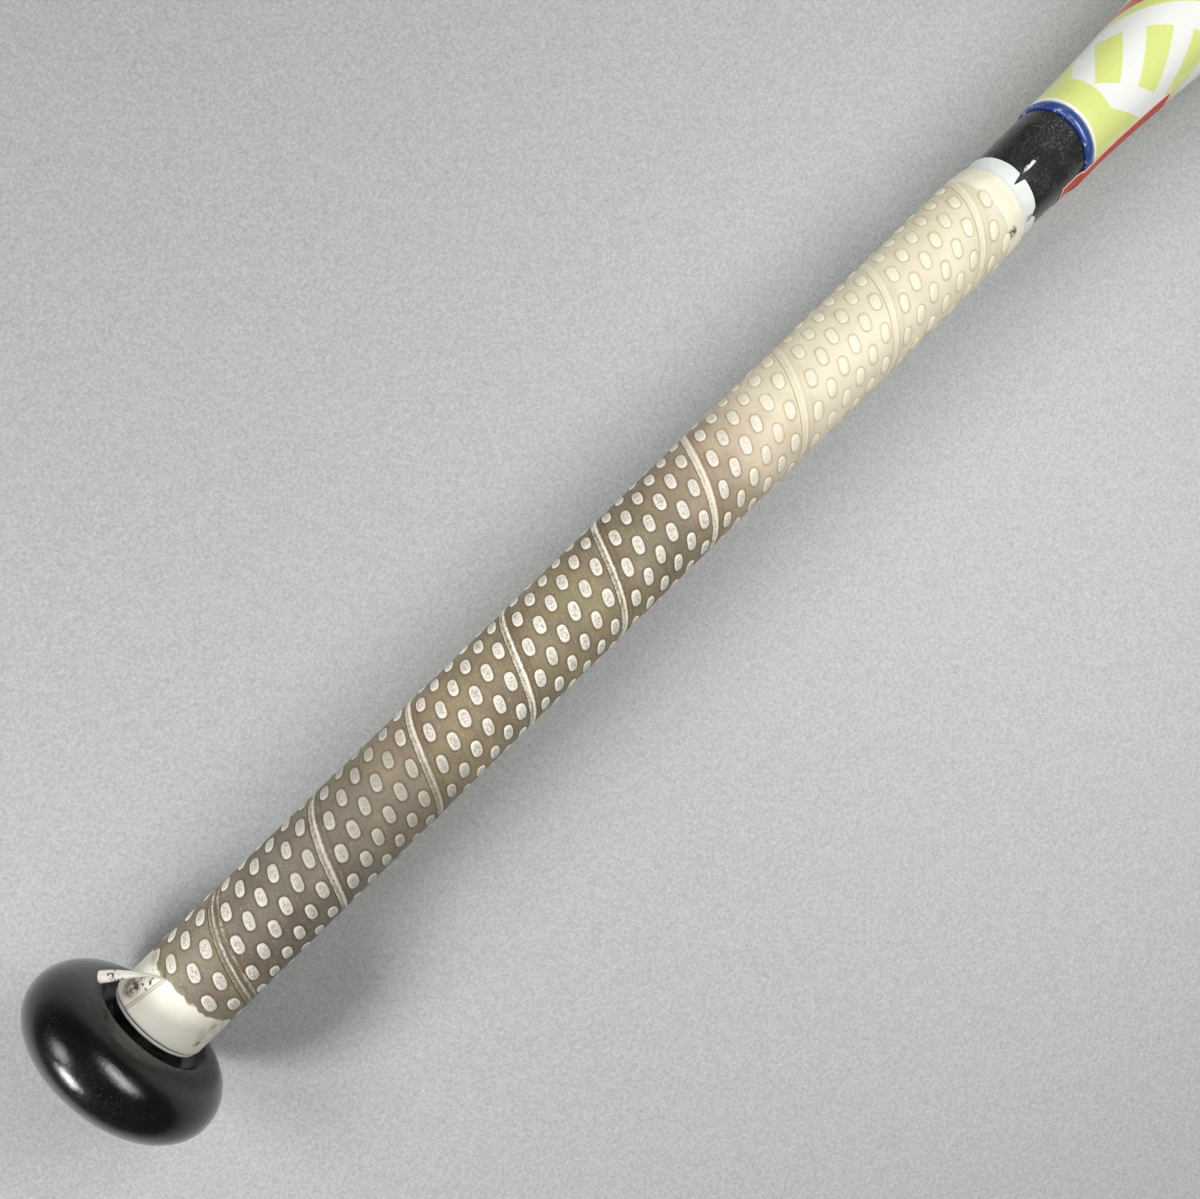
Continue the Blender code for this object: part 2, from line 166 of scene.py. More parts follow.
# Joint, barrel and cap
TAPER_END = 527.0 * MM
MOUTH_RADIUS = 11.65 * MM
MOUTH_WALL = 1.75 * MM
BARREL_WALL = 3.2 * MM
BARREL_WALL_FULL_AT = 430.0 * MM
CAP_FLAT_RADIUS = 15.0 * MM
CAP_SIDE_WIDTH = 0.5 * MM
CAP_SKIRT_RADIUS = 24.2 * MM
CAP_SKIRT_WALL = 3.0 * MM
CAP_FACE_THICKNESS = 5.0 * MM
CAP_RIB_RADIUS = 25.0 * MM
CAP_RIB_PITCH = 6.0 * MM
CAP_RIB_WIDTH = 2.4 * MM
CAP_RIBS = 3

# The barrel's paint: ribbons wind round the taper, and diamonds stand round the body
RIBBONS_END = 462.0 * MM
RIBBON_PITCH = 76.0 * MM
BAR_PITCH = 19.0 * MM
BARS_ROUND = 5
DIAMONDS_START = 492.0 * MM
DIAMONDS_END = 784.0 * MM
DIAMOND_LENGTH = 58.4 * MM
DIAMONDS_ROUND = 6

# Red film over the joint's lower side, a painted red reflection; its angles in degrees round the bat
RED_REFLECTION_START = 328.8 * MM
RED_REFLECTION_END = 368.9 * MM
RED_REFLECTION_HIGH_ANGLE = -60.8
RED_REFLECTION_LOW_ANGLE = -150.0
RED_REFLECTION_THICKNESS = 0.12 * MM

ROUND_SIDES = 144


def linear(code):
    """Linear RGBA of an sRGB hex colour."""
    channels = [int(code[i : i + 2], 16) / 255.0 for i in (1, 3, 5)]
    return (*[c / 12.92 if c <= 0.04045 else ((c + 0.055) / 1.055) ** 2.4 for c in channels], 1.0)


# Settings that a user may change


def length_setting(name, millimetres, description):
    """A size that a user may change."""
    return bpy.props.FloatProperty(
        name=name, description=description, default=millimetres * MM, unit="LENGTH"
    )


def colour_setting(name, code, description):
    """A colour that a user may change, given as sRGB hex."""
    return bpy.props.FloatVectorProperty(
        name=name, description=description, default=linear(code), size=4, subtype="COLOR"
    )


class BatGripSettings(bpy.types.PropertyGroup):
    """Sizes of the wound grip strip and its raised ovals."""

    wrap_pitch: length_setting("Wrap Pitch", 31.71, "How far the strip moves along the handle in one turn")
    oval_length: length_setting("Oval Length", 4.9, "Length of a raised oval, along the strip")
    oval_width: length_setting("Oval Width", 2.75, "Width of a raised oval, across the strip")
    oval_height: length_setting("Oval Height", 0.28, "How far an oval stands out of the strip")
    oval_pitch: length_setting("Oval Pitch", 8.28, "From one oval to the next along the strip")
    row_pitch: length_setting("Row Pitch", 4.48, "From one row of ovals to the next across the strip")
    rows: bpy.props.IntProperty(
        name="Rows", description="Rows of ovals that the overlap leaves open to view", default=6
    )


class BatPaintSettings(bpy.types.PropertyGroup):
    """Colours of the painted barrel and its trim."""

    ground_colour: colour_setting("Ground Colour", "#D7DF87", "Lime under the barrel's stripes")
    panel_colour: colour_setting("Panel Colour", "#E7E8E3", "White of the barrel's ribbons")
    stripe_colour: colour_setting("Stripe Colour", "#C23F30", "Red of the barrel's stripes")
    ring_colour: colour_setting("Ring Colour", "#2A4487", "Blue of the collar and of the barrel's thin rings")


class BatStageSettings(bpy.types.PropertyGroup):
    """Looks of the stage that the bat lies on."""

    floor_colour: colour_setting("Floor Colour", "#B8BAB9", "Pale grey of the floor and its raised edge")
    light_level: bpy.props.FloatProperty(
        name="Light Level",
        description="Brightness of the lamps, as a share of their normal power",
        default=1.0,
        subtype="FACTOR",
    )


# Shapes and meshes


def smooth_step(value):
    """0 below 0, 1 above 1, and a smooth rise between. Works on arrays too."""
    value = np.clip(value, 0.0, 1.0)
    return value * value * (3.0 - 2.0 * value)


def handle_radius(place):
    """Outer radius of the handle tube, slim under the grip and full size beyond it."""
    along = np.clip((place - STRIP_START) / (SWELL_START - STRIP_START), 0.0, 1.0)
    slim = HANDLE_LOW_RADIUS + (HANDLE_HIGH_RADIUS - HANDLE_LOW_RADIUS) * along
    swell = smooth_step((place - SWELL_START) / (SWELL_END - SWELL_START))
    return slim + (HANDLE_RADIUS - slim) * swell


def underwrap_radius(place):
    """Outer radius of the white tape under the grip."""
    return handle_radius(place) + FIT_GAP + UNDERWRAP_THICKNESS


def strip_base_radius(place):
    """Radius on which the grip strip lies."""
    return underwrap_radius(place) + FIT_GAP


def spigot_radius(place):
    """Outer radius of the handle inside the joint."""
    along = (place - SHOULDER_AT) / (SPIGOT_END - SHOULDER_AT)
    return SPIGOT_RADIUS + (SPIGOT_END_RADIUS - SPIGOT_RADIUS) * along


def barrel_radius(place):
    """Outer radius of the barrel, which swells smoothly from its mouth to the full size."""
    rise = smooth_step((place - BARREL_START) / (TAPER_END - BARREL_START))
    return MOUTH_RADIUS + (BARREL_RADIUS - MOUTH_RADIUS) * rise


def barrel_bore_radius(place):
    """Inner radius of the barrel, whose wall thickens away from its mouth."""
    rise = smooth_step((place - BARREL_START) / (BARREL_WALL_FULL_AT - BARREL_START))
    return barrel_radius(place) - MOUTH_WALL - (BARREL_WALL - MOUTH_WALL) * rise


def arc(centre, half_sizes, start, end, count):
    """Points of an ellipse as (place, radius). 0 degrees points to the barrel, 90 outwards."""
    angles = np.radians(np.linspace(start, end, count))
    places = centre[0] + half_sizes[0] * np.cos(angles)
    radii = centre[1] + half_sizes[1] * np.sin(angles)
    return list(zip(places, radii))


def ripple(angles, waves, size, seed):
    """A small irregular wave round the bat, at most about size high."""
    chance = np.random.default_rng(seed)
    total = 0.0 * angles
    for wave in waves:
        total = total + chance.uniform(0.5, 1.0) * np.sin(wave * angles + chance.uniform(0.0, math.tau))
    return total * size / len(waves)


def near_angle(angles, centre, half_width):
    """1 at an angle round the bat, falling smoothly to 0 at half_width from it (degrees)."""
    away = np.abs((np.degrees(angles) - centre + 180.0) % 360.0 - 180.0)
    return smooth_step(1.0 - away / half_width)


def mesh_piece(name, verts, faces, sharp_angle=35.0, attributes=None, trim=None):
    """A closed, smooth-shaded mesh object at the origin, with its doubles merged.

    attributes are vectors kept on the points. trim(work) may cut or move the bmesh.
    """
    mesh = bpy.data.meshes.new(name)
    mesh.from_pydata([tuple(v) for v in verts], [], faces)
    for label, values in (attributes or {}).items():
        layer = mesh.attributes.new(label, "FLOAT_VECTOR", "POINT")
        layer.data.foreach_set("vector", np.asarray(values, np.float32).ravel())
    work = bmesh.new()
    work.from_mesh(mesh)
    bmesh.ops.remove_doubles(work, verts=work.verts, dist=0.000001)
    if trim:
        trim(work)
    bmesh.ops.recalc_face_normals(work, faces=work.faces)
    work.to_mesh(mesh)
    work.free()
    mesh.shade_smooth()
    mesh.set_sharp_from_angle(angle=math.radians(sharp_angle))
    piece = bpy.data.objects.new(name, mesh)
    bpy.context.scene.collection.objects.link(piece)
    return piece


def grid_faces(rows, columns, close_rows):
    """Quads of a grid that closes round its columns, and round its rows too if asked."""
    faces = []
    for i in range(rows if close_rows else rows - 1):
        below = (i + 1) % rows
        for j in range(columns):
            after = (j + 1) % columns
            faces.append((i * columns + j, below * columns + j, below * columns + after, i * columns + after))
    return faces


def turned_piece(name, outline, sides=ROUND_SIDES, shift=None, sharp_angle=35.0):
    """Spins an outline round X. One that starts and ends on the axis makes a solid of full depth.

    shift(places, radii, angles) may return moved (places, radii).
    """
    places = np.array([p for p, _ in outline])[:, None] + np.zeros(sides)
    radii = np.array([r for _, r in outline])[:, None] + np.zeros(sides)
    angles = np.linspace(0.0, math.tau, sides, endpoint=False)[None, :] + 0.0 * places
    if shift:
        places, radii = shift(places, radii, angles)
    verts = np.stack([places, radii * np.sin(angles), radii * np.cos(angles)], axis=-1)
    faces = grid_faces(len(outline), sides, outline[0][1] > 0.0)
    return mesh_piece(name, verts.reshape(-1, 3), faces, sharp_angle)


def dress(piece, material, slot, *nodes):
    """The piece rides on the bat, stands for its CAD nodes and takes the given material as its finish; slot
    is not used.
    """
    piece.data.materials.clear()
    piece.data.materials.append(material)
    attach(piece, "root")
    if nodes:
        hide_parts(*nodes)
    return piece


# Materials


def add_node(tree, kind, inputs=None, **settings):
    """Adds a node, sets its properties, and fills its open inputs by name or number.

    A node or socket given as a value is linked, and anything else is the input's own value.
    """
    node = tree.nodes.new(kind)
    for name, value in settings.items():
        setattr(node, name, value)
    open_inputs = [socket for socket in node.inputs if socket.enabled]
    for key, value in (inputs or {}).items():
        socket = open_inputs[key] if isinstance(key, int) else next(s for s in open_inputs if s.name == key)
        if isinstance(value, bpy.types.Node):
            value = next(s for s in value.outputs if s.enabled)
        if isinstance(value, bpy.types.NodeSocket):
            tree.links.new(value, socket)
        else:
            socket.default_value = value
    return node


def new_material(name, **sockets):
    """(material, node adder, Object coordinates), with constants set on the shader's own sockets."""
    material = bpy.data.materials.new(name)
    material.use_nodes = True
    shader = material.node_tree.nodes["Principled BSDF"]
    for socket, value in sockets.items():
        shader.inputs[socket.replace("_", " ")].default_value = value
    add = partial(add_node, material.node_tree)
    return material, add, add("ShaderNodeTexCoord").outputs["Object"]


def wire(material, **links):
    """Links nodes to the sockets of the material's shader."""
    shader = material.node_tree.nodes["Principled BSDF"]
    for socket, node in links.items():
        output = next(s for s in node.outputs if s.enabled)
        material.node_tree.links.new(output, shader.inputs[socket.replace("_", " ")])
    return material


def ramp(add, value, stops, start=0.0, end=1.0):
    """A colour ramp on a value that runs from start to end. stops are (value, hex colour) pairs."""
    share = add("ShaderNodeMapRange", {0: value, 1: start, 2: end})
    node = add("ShaderNodeValToRGB", {0: share})
    elements = node.color_ramp.elements
    while len(elements) < len(stops):
        elements.new(0.5)
    for element, (place, code) in zip(elements, stops):
        element.position = (place - start) / (end - start)
        element.color = linear(code)
    return node


def axis_places(add, coordinates):
    """The place along the bat's axis, and the angle round it from the top."""
    place, sideways, up = add("ShaderNodeSeparateXYZ", {0: coordinates}).outputs
    return place, add("ShaderNodeMath", {0: sideways, 1: up}, operation="ARCTAN2")


def mottle(add, coordinates, size, low=0.3, high=0.7, to_low=0.0, to_high=1.0, detail=4.0, roughness=0.6):
    """A value that wanders between to_low and to_high in lumps about size across."""
    noise = add(
        "ShaderNodeTexNoise",
        {"Vector": coordinates, "Scale": 1.0 / size, "Detail": detail, "Roughness": roughness},
    )
    return add("ShaderNodeMapRange", {0: noise, 1: low, 2: high, 3: to_low, 4: to_high})


def band_mask(add, value, low, high, soft):
    """1 where a value lies between low and high, with edges soft wide."""
    rise = add("ShaderNodeMapRange", {0: value, 1: low - soft, 2: low + soft})
    fall = add("ShaderNodeMapRange", {0: value, 1: high - soft, 2: high + soft, 3: 1.0, 4: 0.0})
    return add("ShaderNodeMath", {0: rise, 1: fall}, operation="MULTIPLY")


def spot(add, place, angle, centre, centre_degrees, half_length, half_degrees, torn):
    """1 inside an oval spot on the bat's surface and 0 outside, eaten away where torn is low."""
    reaches = []
    for value, middle, half_size in (
        (place, centre, half_length),
        (angle, math.radians(centre_degrees), math.radians(half_degrees)),
    ):
        off = add("ShaderNodeMath", {0: value, 1: middle}, operation="SUBTRACT")
        reaches.append(add("ShaderNodeMath", {0: off, 1: half_size}, operation="DIVIDE"))
    away = add("ShaderNodeCombineXYZ", {0: reaches[0], 1: reaches[1]})
    away = add("ShaderNodeVectorMath", {0: away}, operation="LENGTH")
    inside = add("ShaderNodeMapRange", {0: away.outputs["Value"], 1: 0.6, 2: 1.2, 3: 1.0, 4: 0.0})
    return add("ShaderNodeMath", {0: inside, 1: torn}, operation="MULTIPLY")


def marked(add, colour, *marks):
    """Lays marks over a colour, one on another. marks are (where, hex colour) pairs."""
    for where, code in marks:
        colour = add("ShaderNodeMix", {0: where, 1: colour, 2: linear(code)}, data_type="RGBA")
    return colour


def knob_material():
    """Gloss black lacquer on a moulded composite: deep, with its highlights broken up by fine pale specks in
    its colour, which are partly dust and partly painted glints.
    """
    material, add, coordinates = new_material(
        "Knob lacquered composite", IOR=1.4, Coat_Weight=0.75, Coat_Roughness=0.05, Coat_IOR=1.42
    )
    scuffs = mottle(add, coordinates, 5.0 * MM, 0.35, 0.75, detail=6.0, roughness=0.7)
    rough = add("ShaderNodeMapRange", {0: scuffs, 3: 0.18, 4: 0.34})
    # Pale specks in the colour: dust, and painted glints that break up the highlights
    dust_and_glint_specks = mottle(add, coordinates, 0.5 * MM, 0.56, 0.72, 0.0, 0.4, roughness=0.8)
    dusty = mottle(add, coordinates, 12.0 * MM, 0.4, 0.62, detail=3.0)
    dust_and_glint_specks = add("ShaderNodeMath", {0: dust_and_glint_specks, 1: dusty}, operation="MULTIPLY")
    colour = marked(add, ramp(add, scuffs, [(0.0, "#060607"), (1.0, "#111112")]), (dust_and_glint_specks, "#7B7C7E"))
    lacquer = mottle(add, coordinates, 1.3 * MM, detail=6.0, roughness=0.7)
    bump = add("ShaderNodeBump", {"Height": lacquer, "Strength": 0.5, "Distance": 0.05 * MM})
    return wire(material, Base_Color=colour, Roughness=rough, Normal=bump, Coat_Normal=bump)


def moulded_material(name, code, bright_code, size):
    """Moulded rubber: dull, faintly mottled, with a sand-blasted mould's fine texture."""
    material, add, coordinates = new_material(name, IOR=1.52)
    lumps = mottle(add, coordinates, 6.0 * size, detail=5.0)
    colour = ramp(add, lumps, [(0.0, code), (1.0, bright_code)])
    rough = add("ShaderNodeMapRange", {0: lumps, 3: 0.5, 4: 0.68})
    texture = mottle(add, coordinates, size, detail=2.0)
    bump = add("ShaderNodeBump", {"Height": texture, "Strength": 0.4, "Distance": 0.03 * MM})
    return wire(material, Base_Color=colour, Roughness=rough, Normal=bump)


def shaft_material():
    """Clear lacquer over black carbon composite: mirror-like, with faint fibre streaks and dust."""
    material, add, coordinates = new_material(
        "Handle lacquered carbon", IOR=1.33, Coat_Weight=0.25, Coat_Roughness=0.05, Coat_IOR=1.4
    )
    place, angle = axis_places(add, coordinates)
    # Fibres, drawn at 0.5 mm so that they show
    stretched = add("ShaderNodeMapping", {"Vector": coordinates, "Scale": (0.15, 1.0, 1.0)})
    fibres = ramp(add, mottle(add, stretched, 0.5 * MM), [(0.0, "#1B1D1B"), (1.0, "#2B2D2B")])
    dust_field = mottle(add, coordinates, 7.0 * MM, 0.42, 0.7, 0.12, 0.7, detail=2.0)
    dust = mottle(add, coordinates, 0.45 * MM, 0.52, 0.66, roughness=0.8)
    dust = add("ShaderNodeMath", {0: dust, 1: dust_field}, operation="MULTIPLY")
    torn = mottle(add, coordinates, 0.7 * MM, 0.4, 0.47)
    streak = spot(add, place, angle, SHAFT_STREAK_AT, SHAFT_STREAK_ANGLE, 2.4 * MM, 2.6, torn)
    colour = marked(add, fibres, (dust, "#8E9092"), (streak, "#E6E8E6"))
    rough = add("ShaderNodeMapRange", {0: dust_field, 1: 0.0, 2: 0.4, 3: 0.14, 4: 0.3})
    bump = add("ShaderNodeBump", {"Height": dust, "Strength": 0.3, "Distance": 0.02 * MM})
    return wire(material, Base_Color=colour, Roughness=rough, Normal=bump)


def underwrap_material():
    """White cotton cloth tape: matt and plain, with fine threads, and a small dark spot of painted shade
    where its edge is frayed.
    """
    material, add, coordinates = new_material(
        "Underwrap cotton tape", IOR=1.45, Sheen_Weight=0.1, Roughness=0.75
    )
    place, angle = axis_places(add, coordinates)
    threads = add("ShaderNodeTexWave", {"Vector": coordinates, "Scale": 1.0 / (2.6 * MM), "Distortion": 0.6})
    cloth = ramp(add, mottle(add, coordinates, 4.0 * MM, detail=5.0), [(0.0, "#D3D8D3"), (1.0, "#E2E5E0")])
    cloth = add("ShaderNodeMix", {0: 0.02, 1: cloth, 2: threads}, data_type="RGBA", blend_type="MULTIPLY")
    torn = mottle(add, coordinates, 0.8 * MM, 0.45, 0.55)
    # A dark spot at the frayed place: painted shade
    frayed = spot(add, place, angle, UNDERWRAP_FRAYED_AT, UNDERWRAP_FRAYED_ANGLE, 1.2 * MM, 4.0, torn)
    bump = add(
        "ShaderNodeBump", {"Height": threads.outputs["Fac"], "Strength": 0.06, "Distance": 0.05 * MM}
    )
    return wire(material, Base_Color=marked(add, cloth, (frayed, "#5A4A3C")), Normal=bump)


def soiling_group():
    """The strip's ground colour and its ovals' colour along the handle, and how soiled it is.

    Use has rubbed grey-brown dirt into the lower part, and the part near the barrel has stayed cream.
    """
    tree = bpy.data.node_groups.new("Grip soiling", "ShaderNodeTree")
    for name, kind in (("Ground", "Color"), ("Raised", "Color"), ("Dirt", "Float")):
        tree.interface.new_socket(name=name, in_out="OUTPUT", socket_type="NodeSocket" + kind)
    add = partial(add_node, tree)
    coordinates = add("ShaderNodeTexCoord").outputs["Object"]
    place = add("ShaderNodeSeparateXYZ", {0: coordinates})
    drift = mottle(add, coordinates, 22.0 * MM, 0.3, 0.7, -6.0 * MM, 6.0 * MM, detail=3.0)
    place = add("ShaderNodeMath", {0: place, 1: drift}, operation="ADD")
    # Colours of the strip between its ovals and of the ovals, each from its place in mm along the bat
    ground_stops = [(34, "#A09788"), (62, "#817A6F"), (90, "#8D8579"), (118, "#A39680"), (142, "#968C76")]
    ground_stops += [(160, "#9C9179"), (192, "#8D8470"), (207, "#B2A38F"), (222, "#DFD3BD")]
    ground_stops += [(242, "#E7DFC8"), (310, "#E3DCC4")]
    raised_stops = [(34, "#F6EFE2"), (66, "#E6E0D4"), (88, "#C4BEB1"), (104, "#C5BEAF"), (116, "#FBF4E6")]
    raised_stops += [(142, "#FCF8EA"), (200, "#F1EADC"), (240, "#EDE6CE"), (310, "#EEE7CE")]
    ground, raised = [
        ramp(add, place, [(start * MM, code) for start, code in stops], 20 * MM, 320 * MM)
        for stops in (ground_stops, raised_stops)
    ]
    dirt = add("ShaderNodeMapRange", {0: place, 1: 196 * MM, 2: 236 * MM, 3: 1.0, 4: 0.0})
    tints = mottle(add, coordinates, 14.0 * MM, 0.36, 0.64, detail=3.0)
    clouds = mottle(add, coordinates, 9.0 * MM, detail=5.0)
    cloudiness = add("ShaderNodeMapRange", {0: dirt, 3: 0.45, 4: 0.9})
    for share, pattern, stops in (
        (dirt, tints, [(0.0, "#FAF4F7"), (1.0, "#FFFFF3")]),
        (cloudiness, clouds, [(0.0, "#D2CAC4"), (1.0, "#FFFFF6")]),
    ):
        shade = ramp(add, pattern, stops)
        ground = add(
            "ShaderNodeMix", {0: share, 1: ground, 2: shade}, data_type="RGBA", blend_type="MULTIPLY"
        )
    add("NodeGroupOutput", {0: ground, 1: raised, 2: dirt})
    return tree


def oval_distance(add, along, across, grip):
    """Distance in mm from the outline of the nearest oval, by the places on the flat strip."""
    row = add("ShaderNodeMath", {0: across}, operation="ROUND")
    row_shift = add(
        "ShaderNodeMath", {0: row, 1: ROW_STAGGER, 2: FIRST_ROW_SHIFT - ROW_STAGGER}, operation="MULTIPLY_ADD"
    )
    in_row = add("ShaderNodeMath", {0: along, 1: row_shift}, operation="SUBTRACT")
    nearest = add("ShaderNodeMath", {0: in_row}, operation="ROUND")
    off_along = add("ShaderNodeMath", {0: in_row, 1: nearest}, operation="SUBTRACT")
    off_along = add("ShaderNodeMath", {0: off_along}, operation="ABSOLUTE")
    straight = 0.5 * (grip.oval_length - grip.oval_width)
    past_straight = add(
        "ShaderNodeMath", {0: off_along, 1: grip.oval_pitch / MM, 2: -straight / MM}, operation="MULTIPLY_ADD"
    )
    past_straight = add("ShaderNodeMath", {0: past_straight, 1: 0.0}, operation="MAXIMUM")
    off_across = add("ShaderNodeMath", {0: across, 1: row}, operation="SUBTRACT")
    off_across = add("ShaderNodeMath", {0: off_across, 1: grip.row_pitch / MM}, operation="MULTIPLY")
    off = add("ShaderNodeCombineXYZ", {0: past_straight, 1: off_across})
    off = add("ShaderNodeVectorMath", {0: off}, operation="LENGTH").outputs["Value"]
    return add("ShaderNodeMath", {0: off, 1: 0.5 * grip.oval_width / MM}, operation="SUBTRACT")


def rubbed_share(add, coordinates, place, along, edge, dirt, pores):
    """How far the beads and the ridge of the strip are rubbed pale.

    On the first turn only the beads' tops are, and further on the whole ridge is.
    """
    rubbed = 0.0
    past_first_turn = add("ShaderNodeMapRange", {0: place, 1: 56 * MM, 2: 66 * MM})
    flat_bead = add("ShaderNodeMapRange", {0: past_first_turn, 3: 1.0, 4: 0.2})
    stretches = mottle(add, coordinates, 9.0 * MM, 0.4, 0.6, 0.25, 0.85, detail=2.0)
    flat_bead = add("ShaderNodeMath", {0: flat_bead, 1: stretches}, operation="MULTIPLY")
    # Each bead from one side to the other, in mm across the strip, and how far it is rubbed
    for low, high, share in ((-0.82, -0.42, 0.35), (0.26, 0.8, 0.75), (1.68, 2.35, flat_bead)):
        bead = band_mask(add, edge, low, high, 0.14)
        rubbed = add("ShaderNodeMath", {0: bead, 1: share, 2: rubbed}, operation="MULTIPLY_ADD")
    ridge_share = mottle(add, coordinates, 24.0 * MM, 0.4, 0.6, 0.45, 1.0, detail=2.0)
    hand = add("ShaderNodeMapRange", {0: band_mask(add, place, 66 * MM, 102 * MM, 10 * MM), 3: 1.0, 4: 0.6})
    for share in (past_first_turn, hand):
        ridge_share = add("ShaderNodeMath", {0: ridge_share, 1: share}, operation="MULTIPLY")
    for low, high, share in ((-0.4, 1.0, 0.3), (-1.1, 1.05, 0.8)):
        whole = add(
            "ShaderNodeMath", {0: band_mask(add, edge, low, high, 0.14), 1: share}, operation="MULTIPLY"
        )
        rubbed = add("ShaderNodeMath", {0: whole, 1: ridge_share, 2: rubbed}, operation="MULTIPLY_ADD")
    worn = add("ShaderNodeMapRange", {0: pores, 1: 0.2, 2: 0.6, 3: -0.6, 4: 0.1})
    rubbed = add("ShaderNodeMath", {0: rubbed, 1: worn}, operation="ADD")
    lengthwise = add("ShaderNodeCombineXYZ", {0: along, 1: edge})
    streaks = mottle(add, lengthwise, 0.4, 0.35, 0.65, -0.4, 0.1, detail=3.0)
    rubbed = add("ShaderNodeMath", {0: rubbed, 1: streaks}, operation="ADD", use_clamp=True)
    share = add("ShaderNodeMapRange", {0: dirt, 3: 0.55, 4: 1.0})
    return add("ShaderNodeMath", {0: rubbed, 1: share}, operation="MULTIPLY")


def groove_dirt_and_shade(add, edge, grip):
    """Darkening in the grooves between the beads, and most of all in the seam, by mm across the strip:
    painted shade, and dirt where the strip is soiled.
    """
    strip_width = grip.wrap_pitch * math.cos(strip_slope(grip)) / MM
    seam = STRIP_EDGE_AT * math.cos(strip_slope(grip)) / MM
    stops = [(seam, "#D6CEBC"), (seam + 0.12, "#FFFFFF"), (-0.3, "#F6F3EC"), (0.05, "#EFEBE1")]
    stops += [(0.25, "#FFFFFF"), (0.85, "#FFFFFF"), (1.1, "#DAD4C5"), (1.5, "#E2DCCD"), (1.8, "#F0ECE2")]
    stops += [(2.4, "#F0ECE2"), (2.65, "#E8E3D6"), (3.4, "#FFFFFF")]
    stops += [(strip_width + seam - 0.4, "#FFFFFF"), (strip_width + seam - 0.1, "#D6CEBC")]
    return ramp(add, edge, stops, seam, strip_width + 1.0)


